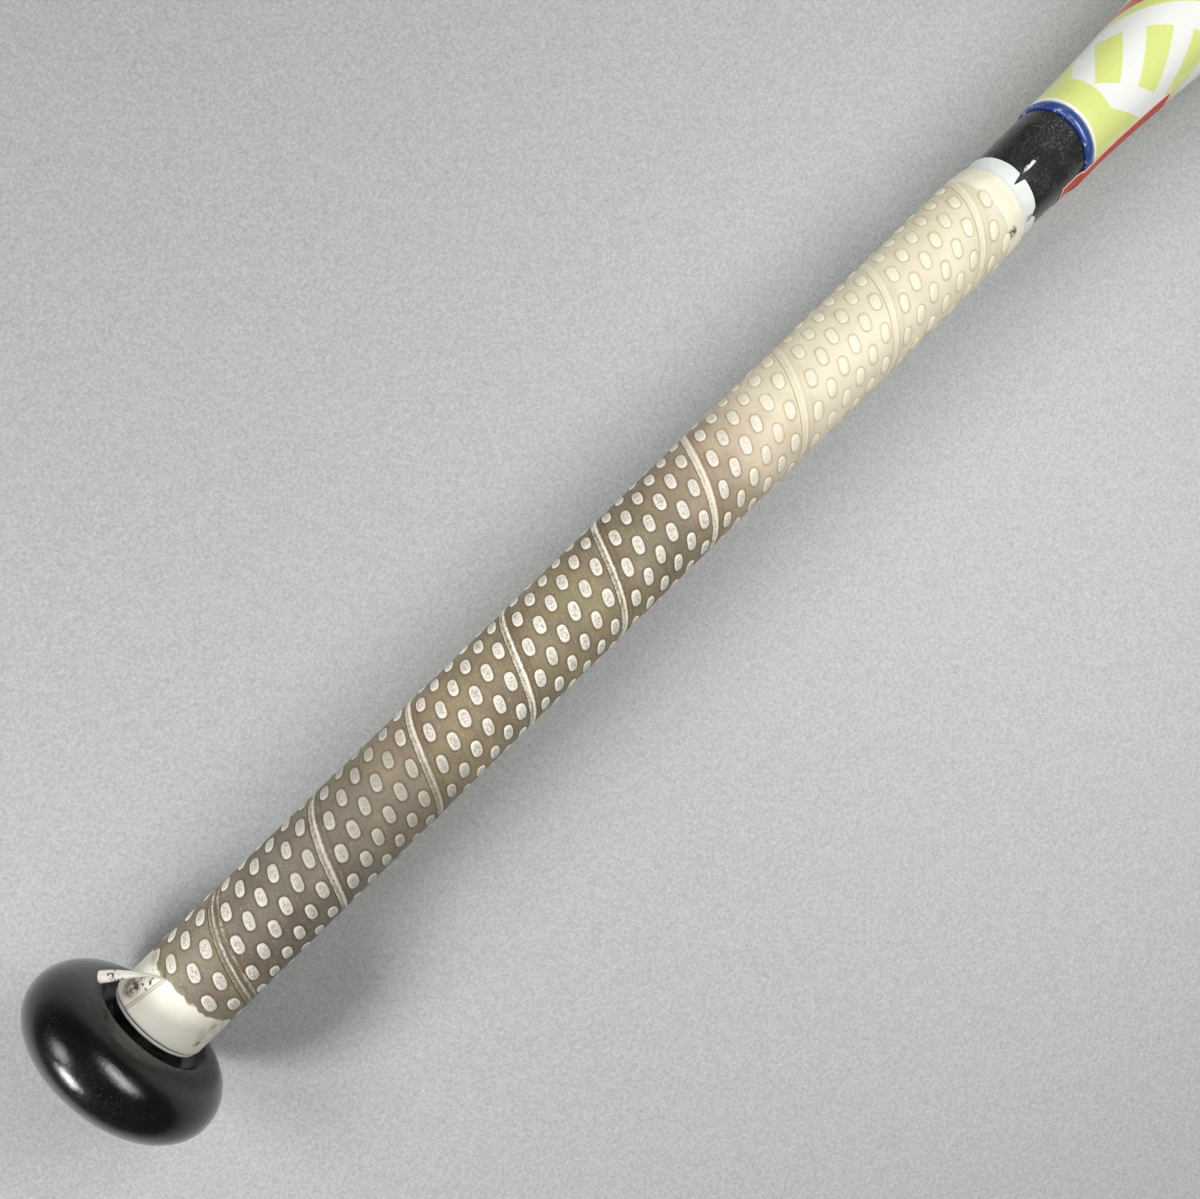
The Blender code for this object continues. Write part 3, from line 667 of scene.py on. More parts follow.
def strip_material(soiling, grip):
    """Embossed polyurethane strip: soft and matt, cream when new, darkest round the raised ovals, where
    painted shade lies at their feet, deepened by dirt.

    The strip_place attribute holds (ovals along the strip, rows across it, mm across from its main bead).
    """
    material, add, coordinates = new_material("Grip strip embossed polyurethane", IOR=1.48)
    place, angle = axis_places(add, coordinates)
    ground, raised, dirt = add("ShaderNodeGroup", node_tree=soiling).outputs
    strip_place = add("ShaderNodeAttribute", attribute_name="strip_place").outputs["Vector"]
    along, across, edge = add("ShaderNodeSeparateXYZ", {0: strip_place}).outputs

    # A dark ring of painted shade round the foot of each oval, deepened and widened by dirt where the strip
    # is soiled
    off = oval_distance(add, along, across, grip)
    oval_foot_shade_width = add("ShaderNodeMapRange", {0: dirt, 3: 0.4, 4: 0.7})
    oval_foot_shade = add(
        "ShaderNodeMapRange", {0: off, 1: 0.1, 2: oval_foot_shade_width, 3: 1.0, 4: 0.0}, interpolation_type="SMOOTHSTEP"
    )
    has_ovals = band_mask(add, place, OVAL_FOOT_SHADE_START, OVALS_END, 0.4 * MM)
    real_rows = band_mask(add, across, 0.52, grip.rows + 0.48, 0.02)
    outside = add("ShaderNodeMapRange", {0: off, 1: -0.4, 2: -0.15})
    for mask in (has_ovals, real_rows, outside):
        oval_foot_shade = add("ShaderNodeMath", {0: oval_foot_shade, 1: mask}, operation="MULTIPLY")
    oval_foot_shade_colour = marked(add, linear("#EDE6D0"), (dirt, "#E0DACE"))

    # Pores and rubbed-in specks, drawn at 0.6 mm so that they show
    pores = mottle(add, coordinates, 0.6 * MM, roughness=0.75)
    pore_shade = ramp(add, pores, [(0.1, "#EDEBE7"), (0.5, "#FFFFFF")])
    colour = ground
    for share, shade in ((oval_foot_shade, oval_foot_shade_colour), (dirt, pore_shade)):
        colour = add(
            "ShaderNodeMix", {0: share, 1: colour, 2: shade}, data_type="RGBA", blend_type="MULTIPLY"
        )
    rubbed = rubbed_share(add, coordinates, place, along, edge, dirt, pores)
    colour = add("ShaderNodeMix", {0: rubbed, 1: colour, 2: raised}, data_type="RGBA")
    # The grooves and the seam are darkened: painted shade all along, and dirt where the strip is soiled
    groove_dirt_and_shade_share = add("ShaderNodeMapRange", {0: dirt, 3: 0.35, 4: 1.0})
    grooves = groove_dirt_and_shade(add, edge, grip)
    colour = add(
        "ShaderNodeMix", {0: groove_dirt_and_shade_share, 1: colour, 2: grooves}, data_type="RGBA", blend_type="MULTIPLY"
    )

    # The plain band beside the knob has stayed clean, but for a stain and specks
    ragged = mottle(add, coordinates, 3.5 * MM, 0.3, 0.7, -0.9 * MM, 0.9 * MM)
    ragged = add("ShaderNodeMath", {0: place, 1: ragged}, operation="ADD")
    limits = {1: BARE_BAND_END - 0.25 * MM, 2: BARE_BAND_END + 0.25 * MM, 3: 1.0, 4: 0.0}
    band = add("ShaderNodeMapRange", {0: ragged, **limits})
    band_colour = ramp(
        add, mottle(add, coordinates, 5.0 * MM, detail=5.0), [(0.0, "#F6F1E0"), (1.0, "#FDFAED")]
    )
    colour = add("ShaderNodeMix", {0: band, 1: colour, 2: band_colour}, data_type="RGBA")
    # Middle in mm along the bat and degrees round it, half sizes, colour, and how its edge is eaten away
    for centre, degrees, half_length, half_degrees, code, grain, low, high, roughness in (
        (24.4, 50.0, 2.6, 14.0, "#7A654A", 2.4, 0.34, 0.6, 0.75),
        (25.0, 44.0, 1.6, 7.0, "#55432F", 1.2, 0.44, 0.58, 0.75),
        (28.4, 40.0, 3.4, 12.0, "#2E2A25", 1.1, 0.55, 0.6, 0.6),
        (24.4, -57.0, 1.1, 5.0, "#8A7A5E", 0.9, 0.42, 0.6, 0.6),
        (28.4, -62.0, 4.0, 17.0, "#C9BC9B", 2.2, 0.38, 0.62, 0.7),
    ):
        torn = mottle(add, coordinates, grain * MM, low, high, roughness=roughness)
        stain = spot(add, place, angle, centre * MM, degrees, half_length * MM, half_degrees, torn)
        colour = marked(add, colour, (stain, code))

    # A crease where the strip was folded over itself, from 33 degrees round at its start to 25. Thin dark
    # brown lines of painted shadow lie either side of it, with its pale line between them.
    run = {1: STRIP_START, 2: BARE_BAND_END, 3: math.radians(33.0), 4: math.radians(25.0)}
    fold = add("ShaderNodeMapRange", {0: place, **run})
    fold = add("ShaderNodeMath", {0: angle, 1: fold}, operation="SUBTRACT")
    # Each is (from, to, colour) across the crease: the painted shadow either side, then the crease's pale
    # line over its middle
    for low, high, code in ((-0.042, 0.04, "#93835F"), (-0.022, 0.022, "#F3EEDF")):
        crease = band_mask(add, fold, low, high, 0.012)
        crease = add("ShaderNodeMath", {0: crease, 1: band}, operation="MULTIPLY")
        tint = add("ShaderNodeMath", {0: crease, 1: 0.7}, operation="MULTIPLY")
        colour = marked(add, colour, (tint, code))

    rough = add("ShaderNodeMapRange", {0: pores, 3: 0.62, 4: 0.5})
    height = add("ShaderNodeMath", {0: crease, 1: 3.0, 2: pores}, operation="MULTIPLY_ADD")
    bump = add("ShaderNodeBump", {"Height": height, "Strength": 0.35, "Distance": 0.06 * MM})
    return wire(material, Base_Color=colour, Roughness=rough, Normal=bump)


def oval_material(soiling):
    """The tops of the same strip: rubbed clean, palest round their rims, with grey pores in the middle.

    The oval_ring attribute falls from 1 on an oval's outline to 0 in its middle.
    """
    material, add, coordinates = new_material("Grip ovals rubbed polyurethane", IOR=1.48, Roughness=0.5)
    place = add("ShaderNodeSeparateXYZ", {0: coordinates})
    ground, raised, dirt = add("ShaderNodeGroup", node_tree=soiling).outputs
    ring = add("ShaderNodeAttribute", attribute_name="oval_ring").outputs["Fac"]
    wear = add("ShaderNodeAttribute", attribute_name="oval_wear").outputs["Fac"]
    # Pores, drawn at 0.6 mm so that they show
    pores = mottle(add, coordinates, 0.6 * MM, 0.4, 0.6, 1.0, 0.0, roughness=0.8)
    middle = add(
        "ShaderNodeMapRange", {0: ring, 1: 0.5, 2: 0.82, 3: 1.0, 4: 0.12}, interpolation_type="SMOOTHSTEP"
    )
    smudged = band_mask(add, place, 79 * MM, 106 * MM, 5 * MM)
    smudged = add("ShaderNodeMapRange", {0: smudged, 3: 0.85, 4: 1.0})
    dirt_share = add("ShaderNodeMapRange", {0: dirt, 3: 0.15, 4: 1.0})
    pored = pores
    for share in (middle, smudged, dirt_share):
        pored = add("ShaderNodeMath", {0: pored, 1: share}, operation="MULTIPLY")
    wear_shade = add("ShaderNodeMapRange", {0: wear, 3: 0.92, 4: 1.0})
    # The foot of each oval takes the strip's ground colour, darkened as painted shade
    top, foot = [
        add("ShaderNodeMix", {0: 1.0, 1: colour, 2: shade}, data_type="RGBA", blend_type="MULTIPLY")
        for colour, shade in ((raised, wear_shade), (ground, linear("#E6DFCB")))
    ]
    top = marked(add, top, (pored, "#989285"))
    at_shaded_foot = add("ShaderNodeMapRange", {0: ring, 1: 0.93, 2: 0.985, 3: 1.0, 4: 0.0})
    colour = add("ShaderNodeMix", {0: at_shaded_foot, 1: foot, 2: top}, data_type="RGBA")
    bump = add("ShaderNodeBump", {"Height": pores, "Strength": 0.25, "Distance": 0.05 * MM})
    return wire(material, Base_Color=colour, Normal=bump)


def finish_band_material():
    """Cream stretch vinyl tape: satin, softly wrinkled, with one torn and dirty place."""
    material, add, coordinates = new_material("Finish band stretch vinyl", IOR=1.5, Roughness=0.48)
    place, angle = axis_places(add, coordinates)
    colour = ramp(add, mottle(add, coordinates, 6.0 * MM, detail=5.0), [(0.0, "#E2DBC4"), (1.0, "#EFEAD4")])
    torn = mottle(add, coordinates, 1.6 * MM, 0.42, 0.5, roughness=0.7)
    hole = spot(add, place, angle, BAND_TORN_AT, BAND_TORN_ANGLE, 1.5 * MM, 8.0, torn)
    slanted = add("ShaderNodeMapping", {"Vector": coordinates, "Scale": (1.0, 0.25, 0.25)})
    wrinkles = mottle(add, slanted, 1.6 * MM, detail=3.0)
    bump = add("ShaderNodeBump", {"Height": wrinkles, "Strength": 0.4, "Distance": 0.15 * MM})
    return wire(material, Base_Color=marked(add, colour, (hole, "#4A3426")), Normal=bump)


def loose_end_material():
    """The strip's own polyurethane, unsoiled but for black specks at its tip."""
    material, add, coordinates = new_material("Loose end polyurethane", IOR=1.48, Roughness=0.55)
    place = add("ShaderNodeSeparateXYZ", {0: coordinates})
    colour = ramp(add, mottle(add, coordinates, 3.0 * MM), [(0.0, "#D0CBBD"), (1.0, "#DFDAD0")])
    near_tip = band_mask(add, place, 24.0 * MM, 26.8 * MM, 0.4 * MM)
    specks = mottle(add, coordinates, 0.9 * MM, 0.55, 0.59)
    specks = add("ShaderNodeMath", {0: specks, 1: near_tip}, operation="MULTIPLY")
    return wire(material, Base_Color=marked(add, colour, (specks, "#2B2723")))


def collar_material(paint):
    """Cast urethane ring: saturated blue, satin-gloss, with pale marks on its first edge that are partly rub
    marks and partly painted glints.
    """
    material, add, coordinates = new_material(
        "Collar cast urethane", IOR=1.5, Coat_Weight=0.5, Coat_Roughness=0.12, Roughness=0.3
    )
    place = add("ShaderNodeSeparateXYZ", {0: coordinates})
    limits = {1: COLLAR_START + 0.3 * MM, 2: COLLAR_START + 0.9 * MM, 3: 0.9, 4: 0.12}
    first_edge = add("ShaderNodeMapRange", {0: place, **limits})
    # Pale marks on the first edge: rub marks, and painted glints
    marks = mottle(add, coordinates, 1.5 * MM, 0.57, 0.62)
    marks = add("ShaderNodeMath", {0: marks, 1: first_edge}, operation="MULTIPLY")
    colour = marked(add, tuple(paint.ring_colour), (marks, "#B9C4E2"))
    bump = add("ShaderNodeBump", {"Height": marks, "Strength": 0.3, "Distance": 0.05 * MM})
    return wire(material, Base_Color=colour, Normal=bump)


def barrel_material(paint):
    """Gloss enamel under clear coat: ribbons on the taper, an argyle body, and plain end rings."""
    material, add, coordinates = new_material(
        "Barrel gloss enamel", IOR=1.5, Coat_Weight=0.9, Coat_Roughness=0.04, Coat_IOR=1.5
    )
    place, angle = axis_places(add, coordinates)
    lime, white, red, blue = [
        tuple(colour)
        for colour in (paint.ground_colour, paint.panel_colour, paint.stripe_colour, paint.ring_colour)
    ]
    turn = add("ShaderNodeMath", {0: angle, 1: math.tau}, operation="DIVIDE")
    clouds = mottle(add, coordinates, 30.0 * MM, detail=2.0)
    colour = add("ShaderNodeMix", {0: 0.05, 1: lime, 2: clouds}, data_type="RGBA", blend_type="MULTIPLY")

    # A white ribbon winds round the taper, with lime bars in it, and a red and a blue stripe beside it
    taper = band_mask(add, place, BARREL_START + 8.0 * MM, RIBBONS_END, 0.1 * MM)
    from_mouth = add("ShaderNodeMath", {0: place, 1: BARREL_START}, operation="SUBTRACT")
    ribbon = add("ShaderNodeMath", {0: from_mouth, 1: 1.0 / RIBBON_PITCH, 2: turn}, operation="MULTIPLY_ADD")
    ribbon = add("ShaderNodeMath", {0: ribbon}, operation="FRACT")
    bars = add("ShaderNodeMath", {0: turn, 1: -float(BARS_ROUND)}, operation="MULTIPLY")
    bars = add("ShaderNodeMath", {0: from_mouth, 1: 1.0 / BAR_PITCH, 2: bars}, operation="MULTIPLY_ADD")
    bars = add("ShaderNodeMath", {0: bars}, operation="FRACT")
    masks = {0: band_mask(add, ribbon, 0.17, 0.45, 0.002), 1: band_mask(add, bars, 0.2, 0.75, 0.01)}
    bars_in_ribbon = add("ShaderNodeMath", masks, operation="MULTIPLY")
    # Each layer of paint is (where, colour, zone of the barrel)
    layers = [
        (band_mask(add, ribbon, 0.06, 0.56, 0.002), white, taper),
        (bars_in_ribbon, lime, taper),
        (band_mask(add, ribbon, 0.62, 0.70, 0.002), red, taper),
        (band_mask(add, ribbon, 0.735, 0.75, 0.002), blue, taper),
    ]

    # Diamonds round the body, crossed by thin red lines
    body = band_mask(add, place, DIAMONDS_START, DIAMONDS_END, 0.1 * MM)
    long_step = add("ShaderNodeMath", {0: place, 1: DIAMONDS_START}, operation="SUBTRACT")
    long_step = add("ShaderNodeMath", {0: long_step, 1: 1.0 / DIAMOND_LENGTH}, operation="MULTIPLY")
    round_step = add("ShaderNodeMath", {0: turn, 1: float(DIAMONDS_ROUND)}, operation="MULTIPLY")
    centred = []
    for step in (long_step, round_step):
        share = add("ShaderNodeMath", {0: step}, operation="FRACT")
        share = add("ShaderNodeMath", {0: share, 1: 0.5}, operation="SUBTRACT")
        centred.append(add("ShaderNodeMath", {0: share}, operation="ABSOLUTE"))
    diamond = add("ShaderNodeMath", {0: centred[0], 1: centred[1]}, operation="ADD")
    for reach, paint_colour in ((0.40, white), (0.20, lime), (0.055, red)):
        layers.append((band_mask(add, diamond, -0.1, reach, 0.004), paint_colour, body))
    for sign in (1.0, -1.0):
        line = add("ShaderNodeMath", {0: round_step, 1: sign, 2: long_step}, operation="MULTIPLY_ADD")
        line = add("ShaderNodeMath", {0: line}, operation="FRACT")
        layers.append((band_mask(add, line, 0.488, 0.512, 0.003), red, body))

    # Rings, in mm along the bat
    for start, end, ring in (
        (339.9, 340.7, white),
        (462.0, 470.0, red),
        (470.0, 473.0, white),
        (473.0, 477.0, blue),
        (786.0, 790.0, blue),
        (790.0, 793.0, white),
        (793.0, 803.0, red),
        (812.0, 814.0, white),
        (834.0, 836.0, white),
    ):
        layers.append((band_mask(add, place, start * MM, end * MM, 0.08 * MM), ring, 1.0))
    for mask, paint_colour, zone in layers:
        mask = add("ShaderNodeMath", {0: mask, 1: zone}, operation="MULTIPLY")
        colour = add("ShaderNodeMix", {0: mask, 1: colour, 2: paint_colour}, data_type="RGBA")

    # Hairline scratches along the bat
    stretched = add("ShaderNodeMapping", {"Vector": coordinates, "Scale": (0.12, 1.0, 1.0)})
    scratches = mottle(add, stretched, 0.8 * MM, 0.66, 0.74, 0.0, 0.25, roughness=0.7)
    colour = marked(add, colour, (scratches, "#B7B5AC"))
    rough = mottle(add, coordinates, 12.0 * MM, 0.35, 0.7, 0.22, 0.36, detail=5.0)
    peel = mottle(add, coordinates, 2.5 * MM, detail=2.0)
    bump = add("ShaderNodeBump", {"Height": peel, "Strength": 0.05, "Distance": 0.05 * MM})
    return wire(material, Base_Color=colour, Roughness=rough, Normal=bump, Coat_Normal=bump)


def red_reflection_material():
    """Red film with a pale cut edge, flat and satin, laid on the joint's lower side as a painted red
    reflection.
    """
    material, add, coordinates = new_material("Side sticker vinyl film", IOR=1.46, Roughness=0.6)
    place, angle = axis_places(add, coordinates)
    red = ramp(add, mottle(add, coordinates, 8.0 * MM), [(0.0, "#BE4430"), (1.0, "#C95440")])
    low_angle, high_angle = math.radians(RED_REFLECTION_LOW_ANGLE + 2.0), math.radians(RED_REFLECTION_HIGH_ANGLE - 2.0)
    inside = add(
        "ShaderNodeMath",
        {
            0: band_mask(add, place, RED_REFLECTION_START + 0.5 * MM, RED_REFLECTION_END - 0.5 * MM, 0.1 * MM),
            1: band_mask(add, angle, low_angle, high_angle, 0.005),
        },
        operation="MULTIPLY",
    )
    # The film's red and its pale edge are a painted red reflection
    colour = add("ShaderNodeMix", {0: inside, 1: linear("#E3C9BF"), 2: red}, data_type="RGBA")
    return wire(material, Base_Color=colour)


# The wound strip and its raised ovals


def strip_slope(grip):
    """Angle between the strip's run and the way round the handle."""
    return math.atan2(grip.wrap_pitch, math.tau * STRIP_UNROLL_RADIUS)


def strip_turn_length(grip):
    """Length of strip in one turn."""
    return math.hypot(grip.wrap_pitch, math.tau * STRIP_UNROLL_RADIUS)


def strip_section(pitch):
    """The strip's section as (place from its main bead, height), outside and then back inside.

    Its beaded edge lies over the thinned edge of the turn before it.
    """
    full = STRIP_THICKNESS
    thinned = 0.3 * full
    width = pitch + STRIP_OVERLAP
    # (place, height above the strip's face) in mm of the edge, a low bead, the main bead and a flat one
    ridge = [(-0.95, -0.16), (-0.88, 0.0), (-0.74, 0.06), (-0.5, 0.06), (-0.3, 0.05)]
    ridge += [(0.0, 0.08), (0.2, 0.13), (0.42, 0.18), (0.72, 0.17), (0.95, 0.06)]
    ridge += [(1.2, 0.0), (1.55, 0.0), (1.85, 0.06), (2.35, 0.06), (2.65, 0.0)]
    outside = [(place * MM, full + lift * MM) for place, lift in ridge]
    outside += [(place, full) for place in np.linspace(3.2 * MM, pitch - 1.5 * MM, 13)]
    # The strip dips under the next turn's edge, and thins out below it
    seam = pitch + STRIP_EDGE_AT
    for place, depth in ((-0.2, 0.01), (-0.1, 0.06), (-0.03, 0.16), (0.1, 0.55)):
        outside.append((seam + place * MM, full - depth * MM))
    outside += [(seam + 0.4 * MM, thinned + 0.08 * MM), (width - 0.3 * MM, thinned), (width, 0.6 * thinned)]
    inside = [
        (width, 0.0),
        (1.6 * STRIP_OVERLAP, 0.0),
        (1.2 * STRIP_OVERLAP, 1.4 * thinned),
        (0.3 * STRIP_OVERLAP, 1.6 * thinned),
        (STRIP_EDGE_AT, 1.9 * thinned),
    ]
    return outside + inside


def trim_strip(work):
    """Cuts the wound strip square at both ends and rounds the rims of the cuts."""
    rim = 0.45 * MM
    for end, outwards in ((STRIP_START, -1.0), (STRIP_SHOWS_TO, 1.0)):
        for inset in (0.0, 0.08 * MM, 0.2 * MM, rim):
            bmesh.ops.bisect_plane(
                work,
                geom=work.verts[:] + work.edges[:] + work.faces[:],
                dist=0.0000005,
                plane_co=(end - outwards * inset, 0.0, 0.0),
                plane_no=(outwards, 0.0, 0.0),
                clear_outer=inset == 0.0,
            )
        bmesh.ops.holes_fill(work, edges=[edge for edge in work.edges if edge.is_boundary], sides=0)
        for vert in work.verts:
            inset = abs(vert.co.x - end)
            radius = math.hypot(vert.co.y, vert.co.z)
            if inset < rim and radius > strip_base_radius(vert.co.x) + 0.6 * STRIP_THICKNESS:
                away = 1.0 - inset / rim
                share = 1.0 - 0.5 * rim * (1.0 - math.sqrt(1.0 - away * away)) / radius
                vert.co.y *= share
                vert.co.z *= share


def strip_piece(grip):
    """Winds the section round the handle, and keeps each point's place on the flat strip."""
    section = np.array(strip_section(grip.wrap_pitch))
    slope = strip_slope(grip)
    first_turn = (STRIP_START - STRIP_TOP_CROSSING - section[:, 0].max()) / grip.wrap_pitch - 0.1
    last_turn = (STRIP_SHOWS_TO - STRIP_TOP_CROSSING) / grip.wrap_pitch + 0.1
    steps = round((last_turn - first_turn) * STRIP_STEPS_PER_TURN)
    turns = np.linspace(first_turn, last_turn, steps)[:, None]
    angles = math.tau * turns + 0.0 * section[None, :, 0]
    places = STRIP_TOP_CROSSING + grip.wrap_pitch * turns + section[None, :, 0]
    strayed = places + sum(
        before + (after - before) * smooth_step((places - low) / (high - low))
        for low, high, before, after in WRAP_STRAYS
    )
    radii = strip_base_radius(np.clip(strayed, STRIP_START, STRIP_END)) + section[None, :, 1]
    verts = np.stack([strayed, radii * np.sin(angles), radii * np.cos(angles)], axis=-1)

    ahead, way_round = places - STRIP_TOP_CROSSING, STRIP_UNROLL_RADIUS * angles
    along = ahead * math.sin(slope) + way_round * math.cos(slope)
    across = ahead * math.cos(slope) - way_round * math.sin(slope)
    drift = DRIFT_PEAK - DRIFT_FALL * np.abs(along / strip_turn_length(grip) - DRIFT_TURN)
    ovals_along = (along - LATTICE_OFFSET - drift) / grip.oval_pitch
    rows_across = (across - FIRST_ROW_FROM_EDGE) / grip.row_pitch + 1.0
    strip_place = np.stack([ovals_along, rows_across, across / MM], axis=-1)

    count = len(section)
    faces = grid_faces(steps, count, False)
    faces.append(tuple(range(count)))
    faces.append(tuple(range((steps - 1) * count, steps * count)))
    return mesh_piece(
        "grip_strip",
        verts.reshape(-1, 3),
        faces,
        sharp_angle=50.0,
        attributes={"strip_place": strip_place.reshape(-1, 3)},
        trim=trim_strip,
    )


OVAL_INPUTS = {
    "Oval Length": "Float",
    "Oval Width": "Float",
    "Oval Height": "Float",
    "Oval Pitch": "Float",
    "Row Pitch": "Float",
    "Rows": "Int",
    "Ovals Per Row": "Int",
    "Wrap Slope": "Float",
    "Turn Length": "Float",
    "Seed": "Int",
    "Material": "Material",
}


def oval_pillow(add, sizes):
    """One oval: a cone's rings, rounded into a low pillow and pushed out at its corners."""
    cone = add(
        "GeometryNodeMeshCone",
        {"Vertices": 16, "Side Segments": 3, "Radius Top": 0.0, "Radius Bottom": 1.0, "Depth": 1.0},
    )
    corner = add("ShaderNodeSeparateXYZ", {0: add("GeometryNodeInputPosition")}).outputs
    upward = corner["Z"]
    cone_ring = add("ShaderNodeMath", {0: 1.0, 1: upward}, operation="SUBTRACT")
    cone_ring = add("ShaderNodeMath", {0: cone_ring, 1: 0.001}, operation="MAXIMUM")
    ring = add("ShaderNodeMath", {0: upward, 1: 2.2}, operation="POWER")
    ring = add("ShaderNodeMath", {0: 1.0, 1: ring}, operation="SUBTRACT")
    spread = add("ShaderNodeMath", {0: ring, 1: cone_ring}, operation="DIVIDE")
    powers = []
    for side in ("X", "Y"):
        share = add("ShaderNodeMath", {0: corner[side], 1: cone_ring}, operation="DIVIDE")
        share = add("ShaderNodeMath", {0: share}, operation="ABSOLUTE")
        powers.append(add("ShaderNodeMath", {0: share, 1: OVAL_FULLNESS}, operation="POWER"))
    corner_push = add("ShaderNodeMath", {0: powers[0], 1: powers[1]}, operation="ADD")
    corner_push = add("ShaderNodeMath", {0: corner_push, 1: 0.5}, operation="MAXIMUM")
    corner_push = add("ShaderNodeMath", {0: corner_push, 1: -1.0 / OVAL_FULLNESS}, operation="POWER")
    spread = add("ShaderNodeMath", {0: spread, 1: corner_push}, operation="MULTIPLY")
    rise = add("ShaderNodeMath", {0: ring, 1: 4.0}, operation="POWER")
    rise = add("ShaderNodeMath", {0: 1.0, 1: rise}, operation="SUBTRACT")
    rise = add("ShaderNodeMath", {0: rise, 1: 0.5}, operation="POWER")
    long_side, short_side = [
        add("ShaderNodeMath", {0: corner[side], 1: spread}, operation="MULTIPLY") for side in ("X", "Y")
    ]
    half_length, half_width = [
        add("ShaderNodeMath", {0: sizes[name], 1: 0.5}, operation="MULTIPLY")
        for name in ("Oval Length", "Oval Width")
    ]
    pillow = add("ShaderNodeCombineXYZ", {0: long_side, 1: short_side, 2: rise})
    scale = add("ShaderNodeCombineXYZ", {0: half_length, 1: half_width, 2: sizes["Oval Height"]})
    pillow = add("ShaderNodeVectorMath", {0: pillow, 1: scale}, operation="MULTIPLY")
    pillow = add("ShaderNodeVectorMath", {0: pillow, 1: (0.0, 0.0, -OVAL_SINK)}, operation="ADD")
    values = {"Geometry": cone, "Name": "oval_ring", "Value": ring}
    oval = add("GeometryNodeStoreNamedAttribute", values, data_type="FLOAT")
    return add("GeometryNodeSetPosition", {"Geometry": oval, "Position": pillow})


def oval_places(add, sizes):
    """Points on the flat strip where the ovals go: row after row, each about half a pitch further on."""
    count = add("ShaderNodeMath", {0: sizes["Rows"], 1: sizes["Ovals Per Row"]}, operation="MULTIPLY")
    points = add("GeometryNodeMeshLine", {"Count": count, "Offset": (0.0, 0.0, 0.0)})
    index = add("GeometryNodeInputIndex")
    row = add("ShaderNodeMath", {0: index, 1: sizes["Rows"]}, operation="MODULO")
    number = add("ShaderNodeMath", {0: index, 1: sizes["Rows"]}, operation="DIVIDE")
    number = add("ShaderNodeMath", {0: number}, operation="FLOOR")
    number = add("ShaderNodeMath", {0: number, 1: float(OVALS_BEFORE_START)}, operation="SUBTRACT")
    row_shift = add("ShaderNodeMath", {0: row, 1: ROW_STAGGER, 2: FIRST_ROW_SHIFT}, operation="MULTIPLY_ADD")
    number = add("ShaderNodeMath", {0: number, 1: row_shift}, operation="ADD")
    along = {0: number, 1: sizes["Oval Pitch"], 2: LATTICE_OFFSET}
    along = add("ShaderNodeMath", along, operation="MULTIPLY_ADD")
    turns = add("ShaderNodeMath", {0: along, 1: sizes["Turn Length"]}, operation="DIVIDE")
    turns = add("ShaderNodeMath", {0: turns, 1: DRIFT_TURN}, operation="SUBTRACT")
    drift = add("ShaderNodeMath", {0: turns}, operation="ABSOLUTE")
    drift = add("ShaderNodeMath", {0: drift, 1: -DRIFT_FALL, 2: DRIFT_PEAK}, operation="MULTIPLY_ADD")
    along = add("ShaderNodeMath", {0: along, 1: drift}, operation="ADD")
    across = {0: row, 1: sizes["Row Pitch"], 2: FIRST_ROW_FROM_EDGE}
    across = add("ShaderNodeMath", across, operation="MULTIPLY_ADD")
    position = add("ShaderNodeCombineXYZ", {0: along, 1: across})
    return add("GeometryNodeSetPosition", {"Geometry": points, "Position": position})


def wrapped_position(add, flat, place, sine, cosine):
    """Where points of the flat strip lie on the bat: its two directions become a place and an angle."""
    back = add("ShaderNodeMath", {0: flat["Y"], 1: sine}, operation="MULTIPLY")
    ahead = add("ShaderNodeMath", {0: flat["X"], 1: cosine}, operation="MULTIPLY")
    angle = add("ShaderNodeMath", {0: ahead, 1: back}, operation="SUBTRACT")
    angle = add("ShaderNodeMath", {0: angle, 1: STRIP_UNROLL_RADIUS}, operation="DIVIDE")
    slimming = {1: STRIP_START, 2: SWELL_START, 3: HANDLE_LOW_RADIUS, 4: HANDLE_HIGH_RADIUS}
    radius = add("ShaderNodeMapRange", {0: place, **slimming})
    held = add("ShaderNodeMath", {0: place, 1: STRIP_END}, operation="MINIMUM")
    swelling = {1: SWELL_START, 2: SWELL_END, 3: 0.0, 4: HANDLE_RADIUS - HANDLE_HIGH_RADIUS}
    swell = add("ShaderNodeMapRange", {0: held, **swelling}, interpolation_type="SMOOTHSTEP")
    for layer in (swell, flat["Z"], 2.0 * FIT_GAP + UNDERWRAP_THICKNESS + STRIP_THICKNESS):
        radius = add("ShaderNodeMath", {0: radius, 1: layer}, operation="ADD")
    sides = []
    for operation in ("SINE", "COSINE"):
        share = add("ShaderNodeMath", {0: angle}, operation=operation)
        sides.append(add("ShaderNodeMath", {0: share, 1: radius}, operation="MULTIPLY"))
    return add("ShaderNodeCombineXYZ", {0: place, 1: sides[0], 2: sides[1]})


